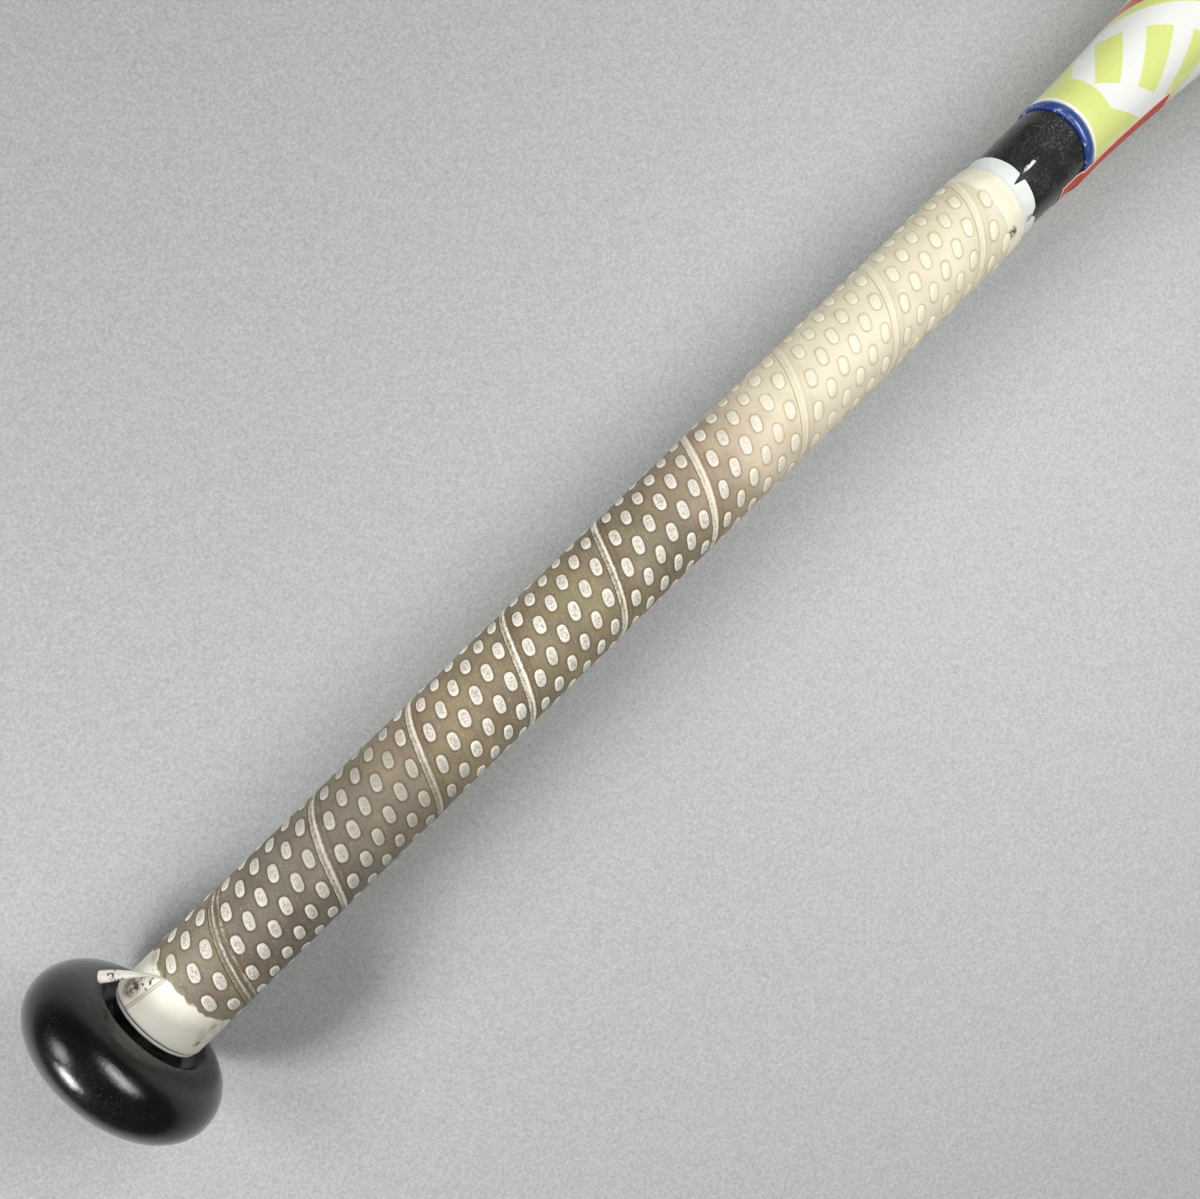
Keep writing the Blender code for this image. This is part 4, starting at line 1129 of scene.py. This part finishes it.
def oval_tree():
    """Sets raised ovals out on the flat strip and wraps them round the handle."""
    tree = bpy.data.node_groups.new("Raised ovals", "GeometryNodeTree")
    for name, kind in OVAL_INPUTS.items():
        tree.interface.new_socket(name=name, in_out="INPUT", socket_type="NodeSocket" + kind)
    tree.interface.new_socket(name="Geometry", in_out="OUTPUT", socket_type="NodeSocketGeometry")
    add = partial(add_node, tree)
    sizes = add("NodeGroupInput").outputs
    sine, cosine = [
        add("ShaderNodeMath", {0: sizes["Wrap Slope"]}, operation=name) for name in ("SINE", "COSINE")
    ]

    # Only the ovals whose middles lie on the bat between the bare band and the strip's end are kept
    flat = add("ShaderNodeSeparateXYZ", {0: add("GeometryNodeInputPosition")}).outputs
    even = add("ShaderNodeMath", {0: flat["X"], 1: sine, 2: STRIP_TOP_CROSSING}, operation="MULTIPLY_ADD")
    even = add("ShaderNodeMath", {0: flat["Y"], 1: cosine, 2: even}, operation="MULTIPLY_ADD")
    place = even
    for low, high, before, after in WRAP_STRAYS:
        values = {0: even, 1: low, 2: high, 3: before, 4: after}
        stray = add("ShaderNodeMapRange", values, interpolation_type="SMOOTHSTEP")
        place = add("ShaderNodeMath", {0: place, 1: stray}, operation="ADD")
    early = add("FunctionNodeCompare", {0: place, 1: BARE_BAND_END + 0.6 * MM}, operation="LESS_THAN")
    late = add("FunctionNodeCompare", {0: place, 1: OVALS_END - 1.8 * MM}, operation="GREATER_THAN")
    outside = add("FunctionNodeBooleanMath", {0: early, 1: late}, operation="OR")
    points = add("GeometryNodeDeleteGeometry", {"Geometry": oval_places(add, sizes), "Selection": outside})

    # Each oval is turned, sized and worn a little by chance
    chances = []
    for low, high in (((0.0, 0.0, -0.05), (0.0, 0.0, 0.05)), ((0.95, 0.93, 0.8), (1.03, 1.04, 1.1))):
        values = {"Min": low, "Max": high, "Seed": sizes["Seed"]}
        chances.append(add("FunctionNodeRandomValue", values, data_type="FLOAT_VECTOR"))
    turned_by, scaled_by = chances
    wear = add("FunctionNodeRandomValue", {"Seed": sizes["Seed"]}, data_type="FLOAT")
    values = {"Points": points, "Instance": oval_pillow(add, sizes)}
    ovals = add("GeometryNodeInstanceOnPoints", {**values, "Rotation": turned_by, "Scale": scaled_by})
    values = {"Geometry": ovals, "Name": "oval_wear", "Value": wear}
    ovals = add("GeometryNodeStoreNamedAttribute", values, data_type="FLOAT", domain="INSTANCE")
    ovals = add("GeometryNodeRealizeInstances", {"Geometry": ovals})
    position = wrapped_position(add, flat, place, sine, cosine)
    ovals = add("GeometryNodeSetPosition", {"Geometry": ovals, "Position": position})
    ovals = add("GeometryNodeRealizeInstances", {"Geometry": ovals})
    ovals = add("GeometryNodeSetMaterial", {"Geometry": ovals, "Material": sizes["Material"]})
    add("NodeGroupOutput", {0: ovals})
    return tree


def grown_piece(name, tree, values):
    """Runs a Geometry Nodes tree on an empty mesh and keeps the result as a plain mesh."""
    grower = bpy.data.objects.new(name + "_grower", bpy.data.meshes.new(name))
    bpy.context.scene.collection.objects.link(grower)
    modifier = grower.modifiers.new("Grow", "NODES")
    modifier.node_group = tree
    for item in tree.interface.items_tree:
        if item.item_type == "SOCKET" and item.in_out == "INPUT":
            modifier[item.identifier] = values[item.name]
    bpy.context.view_layer.update()
    grown = grower.evaluated_get(bpy.context.evaluated_depsgraph_get())
    mesh = bpy.data.meshes.new_from_object(grown)
    bpy.data.objects.remove(grower)
    if not mesh.polygons:
        raise RuntimeError(name + " came out empty")
    mesh.name = name
    mesh.shade_smooth()
    piece = bpy.data.objects.new(name, mesh)
    bpy.context.scene.collection.objects.link(piece)
    return piece


# Pieces


class BAT_OT_knob(bpy.types.Operator):
    """Makes the turned knob and the rubber plug in its base"""

    bl_idname = "bat.knob"
    bl_label = "Knob And Plug"

    def execute(self, context):
        base_size = (KNOB_RIM_AT, KNOB_RADIUS - KNOB_BASE_FLAT_RADIUS)
        base_side = arc((KNOB_RIM_AT, KNOB_BASE_FLAT_RADIUS), base_size, 180, 90, 26)
        grip_size = (KNOB_CREST_AT - KNOB_RIM_AT, KNOB_RADIUS - KNOB_CREST_RADIUS)
        grip_side = arc((KNOB_RIM_AT, KNOB_CREST_RADIUS), grip_size, 90, 0, 26)
        shares = np.linspace(0.08, 1.0, 12)
        dish_places = KNOB_CREST_AT - (KNOB_CREST_AT - KNOB_NECK_AT) * smooth_step(shares)
        dish_radii = KNOB_CREST_RADIUS - (KNOB_CREST_RADIUS - KNOB_NECK_RADIUS) * shares
        bore = HANDLE_LOW_RADIUS + FIT_GAP
        seat = PLUG_THICKNESS + FIT_GAP
        seat_radius = PLUG_RADIUS + FIT_GAP
        inside = [(KNOB_NECK_AT, bore), (seat, bore), (seat, seat_radius)]
        inside += [(0.4 * MM, seat_radius), (0.1 * MM, seat_radius + 0.1 * MM), (0.0, seat_radius + 0.4 * MM)]
        outline = base_side + grip_side[1:] + list(zip(dish_places, dish_radii)) + inside
        dress(turned_piece("knob_body", outline), knob_material(), "knob_composite", "knob")

        stem_radius = HANDLE_LOW_RADIUS - HANDLE_WALL - FIT_GAP
        dimple = 2.2 * MM
        face = [(0.7 * MM, 0.0), (0.65 * MM, 0.5 * dimple), (0.3 * MM, 0.85 * dimple), (0.0, 1.1 * dimple)]
        for ring in (6.2 * MM, 9.4 * MM):
            face += [(0.0, ring - 0.5 * MM), (0.35 * MM, ring - 0.25 * MM)]
            face += [(0.35 * MM, ring + 0.25 * MM), (0.0, ring + 0.5 * MM)]
        rim = arc((0.5 * MM, PLUG_RADIUS - 0.5 * MM), (0.5 * MM, 0.5 * MM), 180, 90, 6)
        stem = [
            (PLUG_THICKNESS - 0.2 * MM, PLUG_RADIUS),
            (PLUG_THICKNESS, PLUG_RADIUS - 0.2 * MM),
            (PLUG_THICKNESS, stem_radius + 0.4 * MM),
            (PLUG_THICKNESS + 0.4 * MM, stem_radius),
            (PLUG_END - 0.8 * MM, stem_radius),
            (PLUG_END, stem_radius - 0.8 * MM),
            (PLUG_END, 0.0),
        ]
        plug = turned_piece("knob_end_plug", face + rim + stem, 96)
        rubber = moulded_material("Plug moulded rubber", "#17171A", "#26262A", 0.3 * MM)
        dress(plug, rubber, "plug_rubber", "knob_plug")
        return {"FINISHED"}


class BAT_OT_handle(bpy.types.Operator):
    """Makes the lacquered handle tube with its spigot"""

    bl_idname = "bat.handle"
    bl_label = "Handle Shaft"

    def execute(self, context):
        start = PLUG_THICKNESS + FIT_GAP
        edge = 0.4 * MM
        places = [*np.linspace(start, SWELL_START, 8), *np.linspace(SWELL_START, SWELL_END, 22)[1:]]
        outline = [(place, handle_radius(place)) for place in places]
        outline += arc((SHOULDER_AT - edge, HANDLE_RADIUS - edge), (edge, edge), 90, 0, 6)
        outline += [(SHOULDER_AT, SPIGOT_RADIUS), (SPIGOT_END - edge, spigot_radius(SPIGOT_END - edge))]
        outline.append((SPIGOT_END, SPIGOT_END_RADIUS - edge))
        for place, radius in (
            (SPIGOT_END, SPIGOT_END_RADIUS),
            (SHOULDER_AT, SPIGOT_RADIUS),
            (SWELL_START, HANDLE_HIGH_RADIUS),
            (STRIP_START, HANDLE_LOW_RADIUS),
            (start, HANDLE_LOW_RADIUS),
        ):
            outline.append((place, radius - HANDLE_WALL))
        dress(turned_piece("handle_shaft", outline), shaft_material(), "handle_composite", "handle_tube")
        return {"FINISHED"}


class BAT_OT_underwrap(bpy.types.Operator):
    """Makes the white cloth tape under the grip, rolled at the knob and nicked at its other edge"""

    bl_idname = "bat.underwrap"
    bl_label = "Underwrap"

    def execute(self, context):
        roll_end = UNDERWRAP_START + UNDERWRAP_ROLL_WIDTH
        roll_middle = (0.5 * (UNDERWRAP_START + roll_end), UNDERWRAP_ROLL_RADIUS - 0.5 * MM)
        outline = arc(roll_middle, (0.5 * UNDERWRAP_ROLL_WIDTH, 0.5 * MM), 180, 0, 11)
        places = np.concatenate([[roll_end + 0.3 * MM], np.linspace(SWELL_START, UNDERWRAP_END, 16)])
        outline += [(place, underwrap_radius(place)) for place in places]
        outline += [(place, handle_radius(place) + FIT_GAP) for place in places[::-1]]
        outline.append((UNDERWRAP_START, handle_radius(UNDERWRAP_START) + FIT_GAP))

        def shift(places, radii, angles):
            edge_zone, nick_depth, frayed_depth, unevenness = 4.6 * MM, 3.2 * MM, 1.2 * MM, 0.12 * MM
            share = smooth_step((places - (UNDERWRAP_END - edge_zone)) / edge_zone)
            torn = nick_depth * near_angle(angles, UNDERWRAP_NICK_ANGLE, 4.8)
            frayed = frayed_depth * near_angle(angles, UNDERWRAP_FRAYED_ANGLE, 9.0)
            uneven = unevenness + ripple(angles, (3, 5, 9, 14), unevenness, 5)
            return places - share * (torn + frayed + uneven), radii

        tape = turned_piece("underwrap_tape", outline, 256, shift)
        dress(tape, underwrap_material(), "underwrap_tape", "grip_underwrap")
        return {"FINISHED"}


class BAT_OT_grip_strip(bpy.types.Operator):
    """Winds the embossed grip strip round the handle"""

    bl_idname = "bat.grip_strip"
    bl_label = "Grip Strip"

    def execute(self, context):
        grip = context.scene.bat_grip
        soiling = bpy.data.node_groups.get("Grip soiling") or soiling_group()
        dress(strip_piece(grip), strip_material(soiling, grip), "grip_strip", "grip_wrap")
        return {"FINISHED"}


class BAT_OT_grip_ovals(bpy.types.Operator):
    """Raises the rows of ovals on the grip strip"""

    bl_idname = "bat.grip_ovals"
    bl_label = "Grip Ovals"

    def execute(self, context):
        grip = context.scene.bat_grip
        soiling = bpy.data.node_groups.get("Grip soiling") or soiling_group()
        material = oval_material(soiling)
        values = {
            "Ovals Per Row": OVALS_PER_ROW,
            "Wrap Slope": strip_slope(grip),
            "Turn Length": strip_turn_length(grip),
            "Seed": OVAL_SEED,
            "Material": material,
        }
        # The other inputs have the names of the grip's own settings
        for name in OVAL_INPUTS:
            values.setdefault(name, getattr(grip, name.lower().replace(" ", "_"), None))
        dress(grown_piece("grip_ovals", oval_tree(), values), material, "grip_strip")
        return {"FINISHED"}


class BAT_OT_finish_band(bpy.types.Operator):
    """Makes the wrinkled band that holds the end of the grip"""

    bl_idname = "bat.finish_band"
    bl_label = "Finish Band"

    def execute(self, context):
        width = FINISH_END - BAND_SHOWS_FROM
        edge_radius = FINISH_RADIUS - 0.4 * MM
        first_edge = (0.35 * MM, 0.3 * MM)
        outline = arc(
            (BAND_SHOWS_FROM + first_edge[0], FINISH_RADIUS - first_edge[1]), first_edge, 180, 90, 6
        )
        shares = np.linspace(0.1, 0.94, 16)
        crown = FINISH_RADIUS - (FINISH_RADIUS - edge_radius) * smooth_step((shares - 0.35) / 0.6)
        outline += list(zip(BAND_SHOWS_FROM + width * shares, crown))
        outline += arc((FINISH_END - 0.3 * MM, edge_radius - 0.3 * MM), (0.3 * MM, 0.3 * MM), 90, 0, 5)
        inner_places = np.linspace(FINISH_END, BAND_SHOWS_FROM, 8)
        outline += [(place, strip_base_radius(place)) for place in inner_places]

        def shift(places, radii, angles):
            outer = smooth_step((radii - strip_base_radius(places)) / (0.5 * MM))
            wrinkles = ripple(angles + 90.0 * (places - BAND_SHOWS_FROM), (7, 11, 17, 23), 0.09 * MM, 11)
            hole_length, hole_depth, edge_zone = 1.6 * MM, 0.35 * MM, 2.5 * MM
            hole = smooth_step(1.0 - np.abs(places - BAND_TORN_AT) / hole_length)
            hole = near_angle(angles, BAND_TORN_ANGLE, 8.0) * hole
            share = smooth_step((places - (FINISH_END - edge_zone)) / edge_zone)
            uneven = 0.1 * MM + ripple(angles, (2, 4, 7, 12), 0.2 * MM, 3)
            return places - share * uneven, radii + outer * (wrinkles - hole_depth * hole)

        band = turned_piece("finish_band", outline, 256, shift)
        dress(band, finish_band_material(), "finish_tape", "grip_finish_tape")
        return {"FINISHED"}


class BAT_OT_loose_end(bpy.types.Operator):
    """Makes the strip's loose starting end, curled into a narrow roll that stands off over the knob"""

    bl_idname = "bat.loose_end"
    bl_label = "Loose Tape End"

    def execute(self, context):
        # The middle line's start on the strip, its two pulls and its tip over the knob
        line = np.array([[32.0, 5.6, 11.5], [31.6, 8.6, 13.0], [27.5, 12.5, 12.8], [22.6, 16.0, 10.9]]) * MM
        rows = []
        for share in np.linspace(0.0, 1.0, 26):
            pulls = [line[i] + (line[i + 1] - line[i]) * share for i in range(3)]
            before, after = [pulls[i] + (pulls[i + 1] - pulls[i]) * share for i in range(2)]
            centre = before + (after - before) * share
            run = Vector(after - before).normalized()
            sideways = run.cross(Vector((0.0, 0.25, 1.0))).normalized()
            outwards = sideways.cross(run)
            half_width = (0.28 + 1.15 * smooth_step((share - 0.2) / 0.8)) * MM
            half_height = (0.25 + 0.35 * share) * MM
            row = []
            for turn in np.linspace(0.0, 1.0, 28, endpoint=False):
                lap = 1.0 - 0.16 * math.exp(-(((turn - 0.18) / 0.03) ** 2)) + 0.1 * (0.18 < turn < 0.5)
                offset = math.cos(math.tau * turn) * half_width * lap * np.array(sideways)
                offset = offset + math.sin(math.tau * turn) * half_height * lap * np.array(outwards)
                row.append(centre + offset)
            rows.append(np.array(row))
        # The roll's tip is rounded and a little hollow
        tip_ring, tip_middle = rows[-1], rows[-1].mean(axis=0)
        for ahead, size in ((0.2, 0.96), (0.38, 0.85), (0.48, 0.66), (0.3, 0.5), (-0.3, 0.45)):
            rows.append(tip_middle + (tip_ring - tip_middle) * size + np.array(run) * (ahead * MM))
        columns = len(tip_ring)
        faces = grid_faces(len(rows), columns, False)
        faces.append(tuple(range(columns)))
        faces.append(tuple(range((len(rows) - 1) * columns, len(rows) * columns)))
        piece = mesh_piece("loose_tape_end", np.array(rows).reshape(-1, 3), faces, 50.0)
        dress(piece, loose_end_material(), "grip_strip")
        return {"FINISHED"}


class BAT_OT_joint(bpy.types.Operator):
    """Makes the urethane collar and gives the hidden elastomer bushing its material"""

    bl_idname = "bat.joint"
    bl_label = "Collar And Bushing"

    def execute(self, context):
        half = 0.5 * (COLLAR_END - COLLAR_START)
        bulge = 0.45 * half
        outline = arc((COLLAR_START + half, COLLAR_RADIUS - bulge), (half, bulge), 180, 0, 17)
        outline += [(place, spigot_radius(place) + FIT_GAP) for place in (COLLAR_END, COLLAR_START)]
        collar = turned_piece("flare_collar", outline)
        dress(collar, collar_material(context.scene.bat_paint), "collar_urethane", "joint_collar")
        bushing = frame["nodes"]["joint_bushing"]
        elastomer = moulded_material("Bushing cast elastomer", "#4A4B4E", "#5D5E61", 0.5 * MM)
        bushing.data.materials.clear()
        bushing.data.materials.append(elastomer)
        return {"FINISHED"}


class BAT_OT_barrel(bpy.types.Operator):
    """Makes the painted barrel shell"""

    bl_idname = "bat.barrel"
    bl_label = "Painted Barrel"

    def execute(self, context):
        edge = 0.5 * MM
        outline = arc((BARREL_START + edge, MOUTH_RADIUS - edge), (edge, edge), 180, 90, 6)
        places = np.linspace(BARREL_START + edge, TAPER_END, 56)[1:]
        outline += [(place, barrel_radius(place)) for place in places]
        outline += [(place, BARREL_RADIUS) for place in np.linspace(TAPER_END, BARREL_END - edge, 12)[1:-1]]
        outline += arc((BARREL_END - edge, BARREL_RADIUS - edge), (edge, edge), 90, 0, 6)
        outline.append((BARREL_END, BARREL_RADIUS - BARREL_WALL))
        outline += [(place, barrel_bore_radius(place)) for place in places[::-3]]
        outline.append((BARREL_START, barrel_bore_radius(BARREL_START) + edge))
        barrel = turned_piece("barrel_painted", outline)
        dress(barrel, barrel_material(context.scene.bat_paint), "barrel_paint", "barrel_shell")
        return {"FINISHED"}


class BAT_OT_end_cap(bpy.types.Operator):
    """Makes the domed end cap with its ribbed skirt"""

    bl_idname = "bat.end_cap"
    bl_label = "End Cap"

    def execute(self, context):
        seat = BARREL_END + FIT_GAP
        side_end = seat + CAP_SIDE_WIDTH
        cup_floor = BAT_END - CAP_FACE_THICKNESS
        cup_radius = CAP_SKIRT_RADIUS - CAP_SKIRT_WALL
        outline = [(cup_floor, 0.0), (cup_floor, cup_radius)]
        outline += [(CAP_SKIRT_START, cup_radius), (CAP_SKIRT_START, CAP_SKIRT_RADIUS)]
        for rib in range(CAP_RIBS):
            foot = CAP_SKIRT_START + (rib + 0.4) * CAP_RIB_PITCH
            for share, radius in ((0.0, CAP_SKIRT_RADIUS), (0.7, CAP_RIB_RADIUS), (1.0, CAP_RIB_RADIUS)):
                outline.append((foot + share * CAP_RIB_WIDTH, radius))
            outline.append((foot + 1.1 * CAP_RIB_WIDTH, CAP_SKIRT_RADIUS))
        outline += [(seat, CAP_SKIRT_RADIUS), (seat, CAP_RADIUS - 0.15 * MM), (seat + 0.15 * MM, CAP_RADIUS)]
        dome = (BAT_END - side_end, CAP_RADIUS - CAP_FLAT_RADIUS)
        outline += arc((side_end, CAP_FLAT_RADIUS), dome, 90, 0, 30)
        for ring in (12.0 * MM, 8.0 * MM):
            outline += [(BAT_END, ring + 0.6 * MM), (BAT_END - 0.5 * MM, ring + 0.25 * MM)]
            outline += [(BAT_END - 0.5 * MM, ring - 0.25 * MM), (BAT_END, ring - 0.6 * MM)]
        outline.append((BAT_END, 0.0))
        cap = turned_piece("barrel_end_cap", outline)
        urethane = moulded_material("End cap moulded urethane", "#101012", "#1B1B1E", 0.4 * MM)
        dress(cap, urethane, "cap_urethane", "end_cap")
        return {"FINISHED"}


class BAT_OT_red_reflection(bpy.types.Operator):
    """Lays a plain red film over the side of the joint, as a painted red reflection"""

    bl_idname = "bat.sticker"
    bl_label = "Side Sticker"

    def execute(self, context):
        places = np.linspace(RED_REFLECTION_START, RED_REFLECTION_END, 81)
        angles = np.radians(np.linspace(RED_REFLECTION_HIGH_ANGLE, RED_REFLECTION_LOW_ANGLE, 61))
        near_collar = (places > COLLAR_START - 1.2 * MM) & (places < COLLAR_END + 1.6 * MM)
        under = np.where(places < COLLAR_START, HANDLE_RADIUS, barrel_radius(places))
        under = np.where(near_collar, COLLAR_RADIUS, under)
        smoothed = np.convolve(np.pad(under, 3, mode="edge"), np.ones(7) / 7.0, mode="valid")
        under = np.maximum(smoothed, under) + 0.04 * MM
        verts = []
        for lift in (0.0, RED_REFLECTION_THICKNESS):
            radii = (under + lift)[:, None] + 0.0 * angles[None, :]
            wide_places = places[:, None] + 0.0 * angles[None, :]
            side = np.stack([wide_places, radii * np.sin(angles), radii * np.cos(angles)], axis=-1)
            verts.append(side.reshape(-1, 3))
        rows, columns = len(places), len(angles)
        count = rows * columns
        faces = []
        for i in range(rows - 1):
            for j in range(columns - 1):
                corner = i * columns + j
                quad = (corner, corner + 1, corner + columns + 1, corner + columns)
                faces += [quad, tuple(count + k for k in reversed(quad))]
        rim = list(range(columns)) + [i * columns + columns - 1 for i in range(1, rows)]
        rim += [(rows - 1) * columns + j for j in range(columns - 2, -1, -1)]
        rim += [i * columns for i in range(rows - 2, 0, -1)]
        for first, second in zip(rim, rim[1:] + rim[:1]):
            faces.append((first, second, count + second, count + first))
        # The red film is a painted red reflection
        red_reflection_film = mesh_piece("side_sticker", np.concatenate(verts), faces, 50.0)
        dress(red_reflection_film, red_reflection_material(), "barrel_paint")
        return {"FINISHED"}


# Stage

# The photo's camera, fitted to the bat: its place, its right-hand and backward directions, lens and shift
CAMERA_PLACE = (0.12189, 0.0, 0.25977)
CAMERA_RIGHT = (0.70816, -0.69360, 0.13199)
CAMERA_BACK = (-0.07207, 0.11495, 0.99075)
CAMERA_LENS = 31.118
CAMERA_SHIFT = (0.0006, 0.1303)

# The floor is flat to here from the bat's middle, and then bends up into a wall
FLOOR_FLAT_RADIUS = 2.4
COVE_RADIUS = 0.9
WALL_HEIGHT = 2.0

WORLD_LEVEL = 0.115

# (name, place on the axis it faces, azimuth from +X and elevation seen from there, distance, width, height,
# spread in degrees, power in watts)
LAMPS = (
    ("lamp_barrel_side", 0.0, -17.0, 39.0, 0.5, 0.28, 0.135, 180.0, 1.3),
    ("lamp_far_side", 0.0, 109.0, 47.5, 2.3, 0.95, 0.8, 180.0, 16.0),
    ("lamp_knob_side", 0.0, 158.0, 44.0, 0.5, 0.17, 0.12, 180.0, 2.1),
    ("lamp_over_barrel", 0.8, 70.0, 68.0, 0.9, 0.5, 0.4, 44.0, 0.45),
    ("lamp_near_barrel", 0.86, -75.0, 42.0, 1.0, 0.6, 0.4, 40.0, 0.25),
)


class BAT_OT_stage(bpy.types.Operator):
    """Sets the floor, the lights, the world and the camera"""

    bl_idname = "bat.stage"
    bl_label = "Stage"

    def execute(self, context):
        scene = context.scene
        settings = scene.bat_stage
        outline = [(radius, 0.0) for radius in (0.0, 0.3, 0.6, 1.2, 1.8)]
        for angle in np.radians(np.linspace(0.0, 90.0, 13)):
            bend = (FLOOR_FLAT_RADIUS + COVE_RADIUS * math.sin(angle), COVE_RADIUS * (1.0 - math.cos(angle)))
            outline.append(bend)
        outline.append((FLOOR_FLAT_RADIUS + COVE_RADIUS, WALL_HEIGHT))
        sides = 96
        verts = [
            (BAT_MIDDLE + radius * math.cos(angle), radius * math.sin(angle), FLOOR_HEIGHT + height)
            for radius, height in outline
            for angle in np.linspace(0.0, math.tau, sides, endpoint=False)
        ]
        floor = mesh_piece("floor_sheet", verts, grid_faces(len(outline), sides, False))
        material, add, coordinates = new_material("Floor matt card", IOR=1.45, Roughness=0.85)
        tint = mottle(add, coordinates, 0.85 * MM, 0.25, 0.75, 0.68, 1.3, roughness=0.85)
        colour = add(
            "ShaderNodeMix",
            {0: 1.0, 1: tuple(settings.floor_colour), 2: tint},
            data_type="RGBA",
            blend_type="MULTIPLY",
        )
        floor.data.materials.append(wire(material, Base_Color=colour))

        for name, aim, azimuth, elevation, distance, width, height, spread, power in LAMPS:
            azimuth, elevation = math.radians(azimuth), math.radians(elevation)
            level = math.cos(elevation)
            direction = Vector((math.cos(azimuth) * level, math.sin(azimuth) * level, math.sin(elevation)))
            light = bpy.data.lights.new(name, "AREA")
            light.shape = "RECTANGLE"
            light.size, light.size_y = width, height
            light.spread = math.radians(spread)
            light.energy = power * settings.light_level
            lamp = bpy.data.objects.new(name, light)
            lamp.location = Vector((aim, 0.0, 0.0)) + distance * direction
            lamp.rotation_mode = "QUATERNION"
            lamp.rotation_quaternion = direction.to_track_quat("Z", "Y")
            lamp.visible_camera = False
            scene.collection.objects.link(lamp)

        world = bpy.data.worlds.new("Studio air")
        world.use_nodes = True
        background = world.node_tree.nodes["Background"]
        background.inputs["Color"].default_value = linear("#FFFFFF")
        background.inputs["Strength"].default_value = WORLD_LEVEL
        scene.world = world

        camera_data = bpy.data.cameras.new("photo_camera")
        camera_data.lens = CAMERA_LENS
        camera_data.sensor_width = 36.0
        camera_data.shift_x, camera_data.shift_y = CAMERA_SHIFT
        camera_data.clip_start = 0.01
        camera = bpy.data.objects.new("photo_camera", camera_data)
        right, back = Vector(CAMERA_RIGHT), Vector(CAMERA_BACK)
        turn = Matrix((right, back.cross(right), back)).transposed().to_4x4()
        camera.matrix_world = Matrix.Translation(CAMERA_PLACE) @ turn
        scene.collection.objects.link(camera)
        scene.camera = camera
        scene.view_settings.view_transform = "Standard"
        return {"FINISHED"}


class BAT_PT_panel(bpy.types.Panel):
    """Lists the settings and the steps that build the bat's looks"""

    bl_idname = "BAT_PT_panel"
    bl_label = "Softball Bat"
    bl_space_type = "VIEW_3D"
    bl_region_type = "UI"
    bl_category = "Bat"

    def draw(self, context):
        for settings in (context.scene.bat_grip, context.scene.bat_paint, context.scene.bat_stage):
            column = self.layout.column()
            for name in settings.bl_rna.properties.keys():
                if name not in ("rna_type", "name"):
                    column.prop(settings, name)
        for operator in OPERATORS:
            self.layout.operator(operator.bl_idname)


SETTINGS = {"bat_grip": BatGripSettings, "bat_paint": BatPaintSettings, "bat_stage": BatStageSettings}
OPERATORS = (
    BAT_OT_knob,
    BAT_OT_handle,
    BAT_OT_underwrap,
    BAT_OT_grip_strip,
    BAT_OT_grip_ovals,
    BAT_OT_finish_band,
    BAT_OT_loose_end,
    BAT_OT_joint,
    BAT_OT_barrel,
    BAT_OT_end_cap,
    BAT_OT_red_reflection,
    BAT_OT_stage,
)


def register():
    for settings_class in SETTINGS.values():
        bpy.utils.register_class(settings_class)
    for name, settings_class in SETTINGS.items():
        setattr(bpy.types.Scene, name, bpy.props.PointerProperty(type=settings_class))
    for other_class in (*OPERATORS, BAT_PT_panel):
        bpy.utils.register_class(other_class)


def unregister():
    for other_class in reversed((*OPERATORS, BAT_PT_panel)):
        bpy.utils.unregister_class(other_class)
    for name in SETTINGS:
        delattr(bpy.types.Scene, name)
    for settings_class in SETTINGS.values():
        bpy.utils.unregister_class(settings_class)


def main():
    register()
    for operator in OPERATORS:
        group, name = operator.bl_idname.split(".")
        getattr(getattr(bpy.ops, group), name)()


if __name__ == "__main__":
    main()
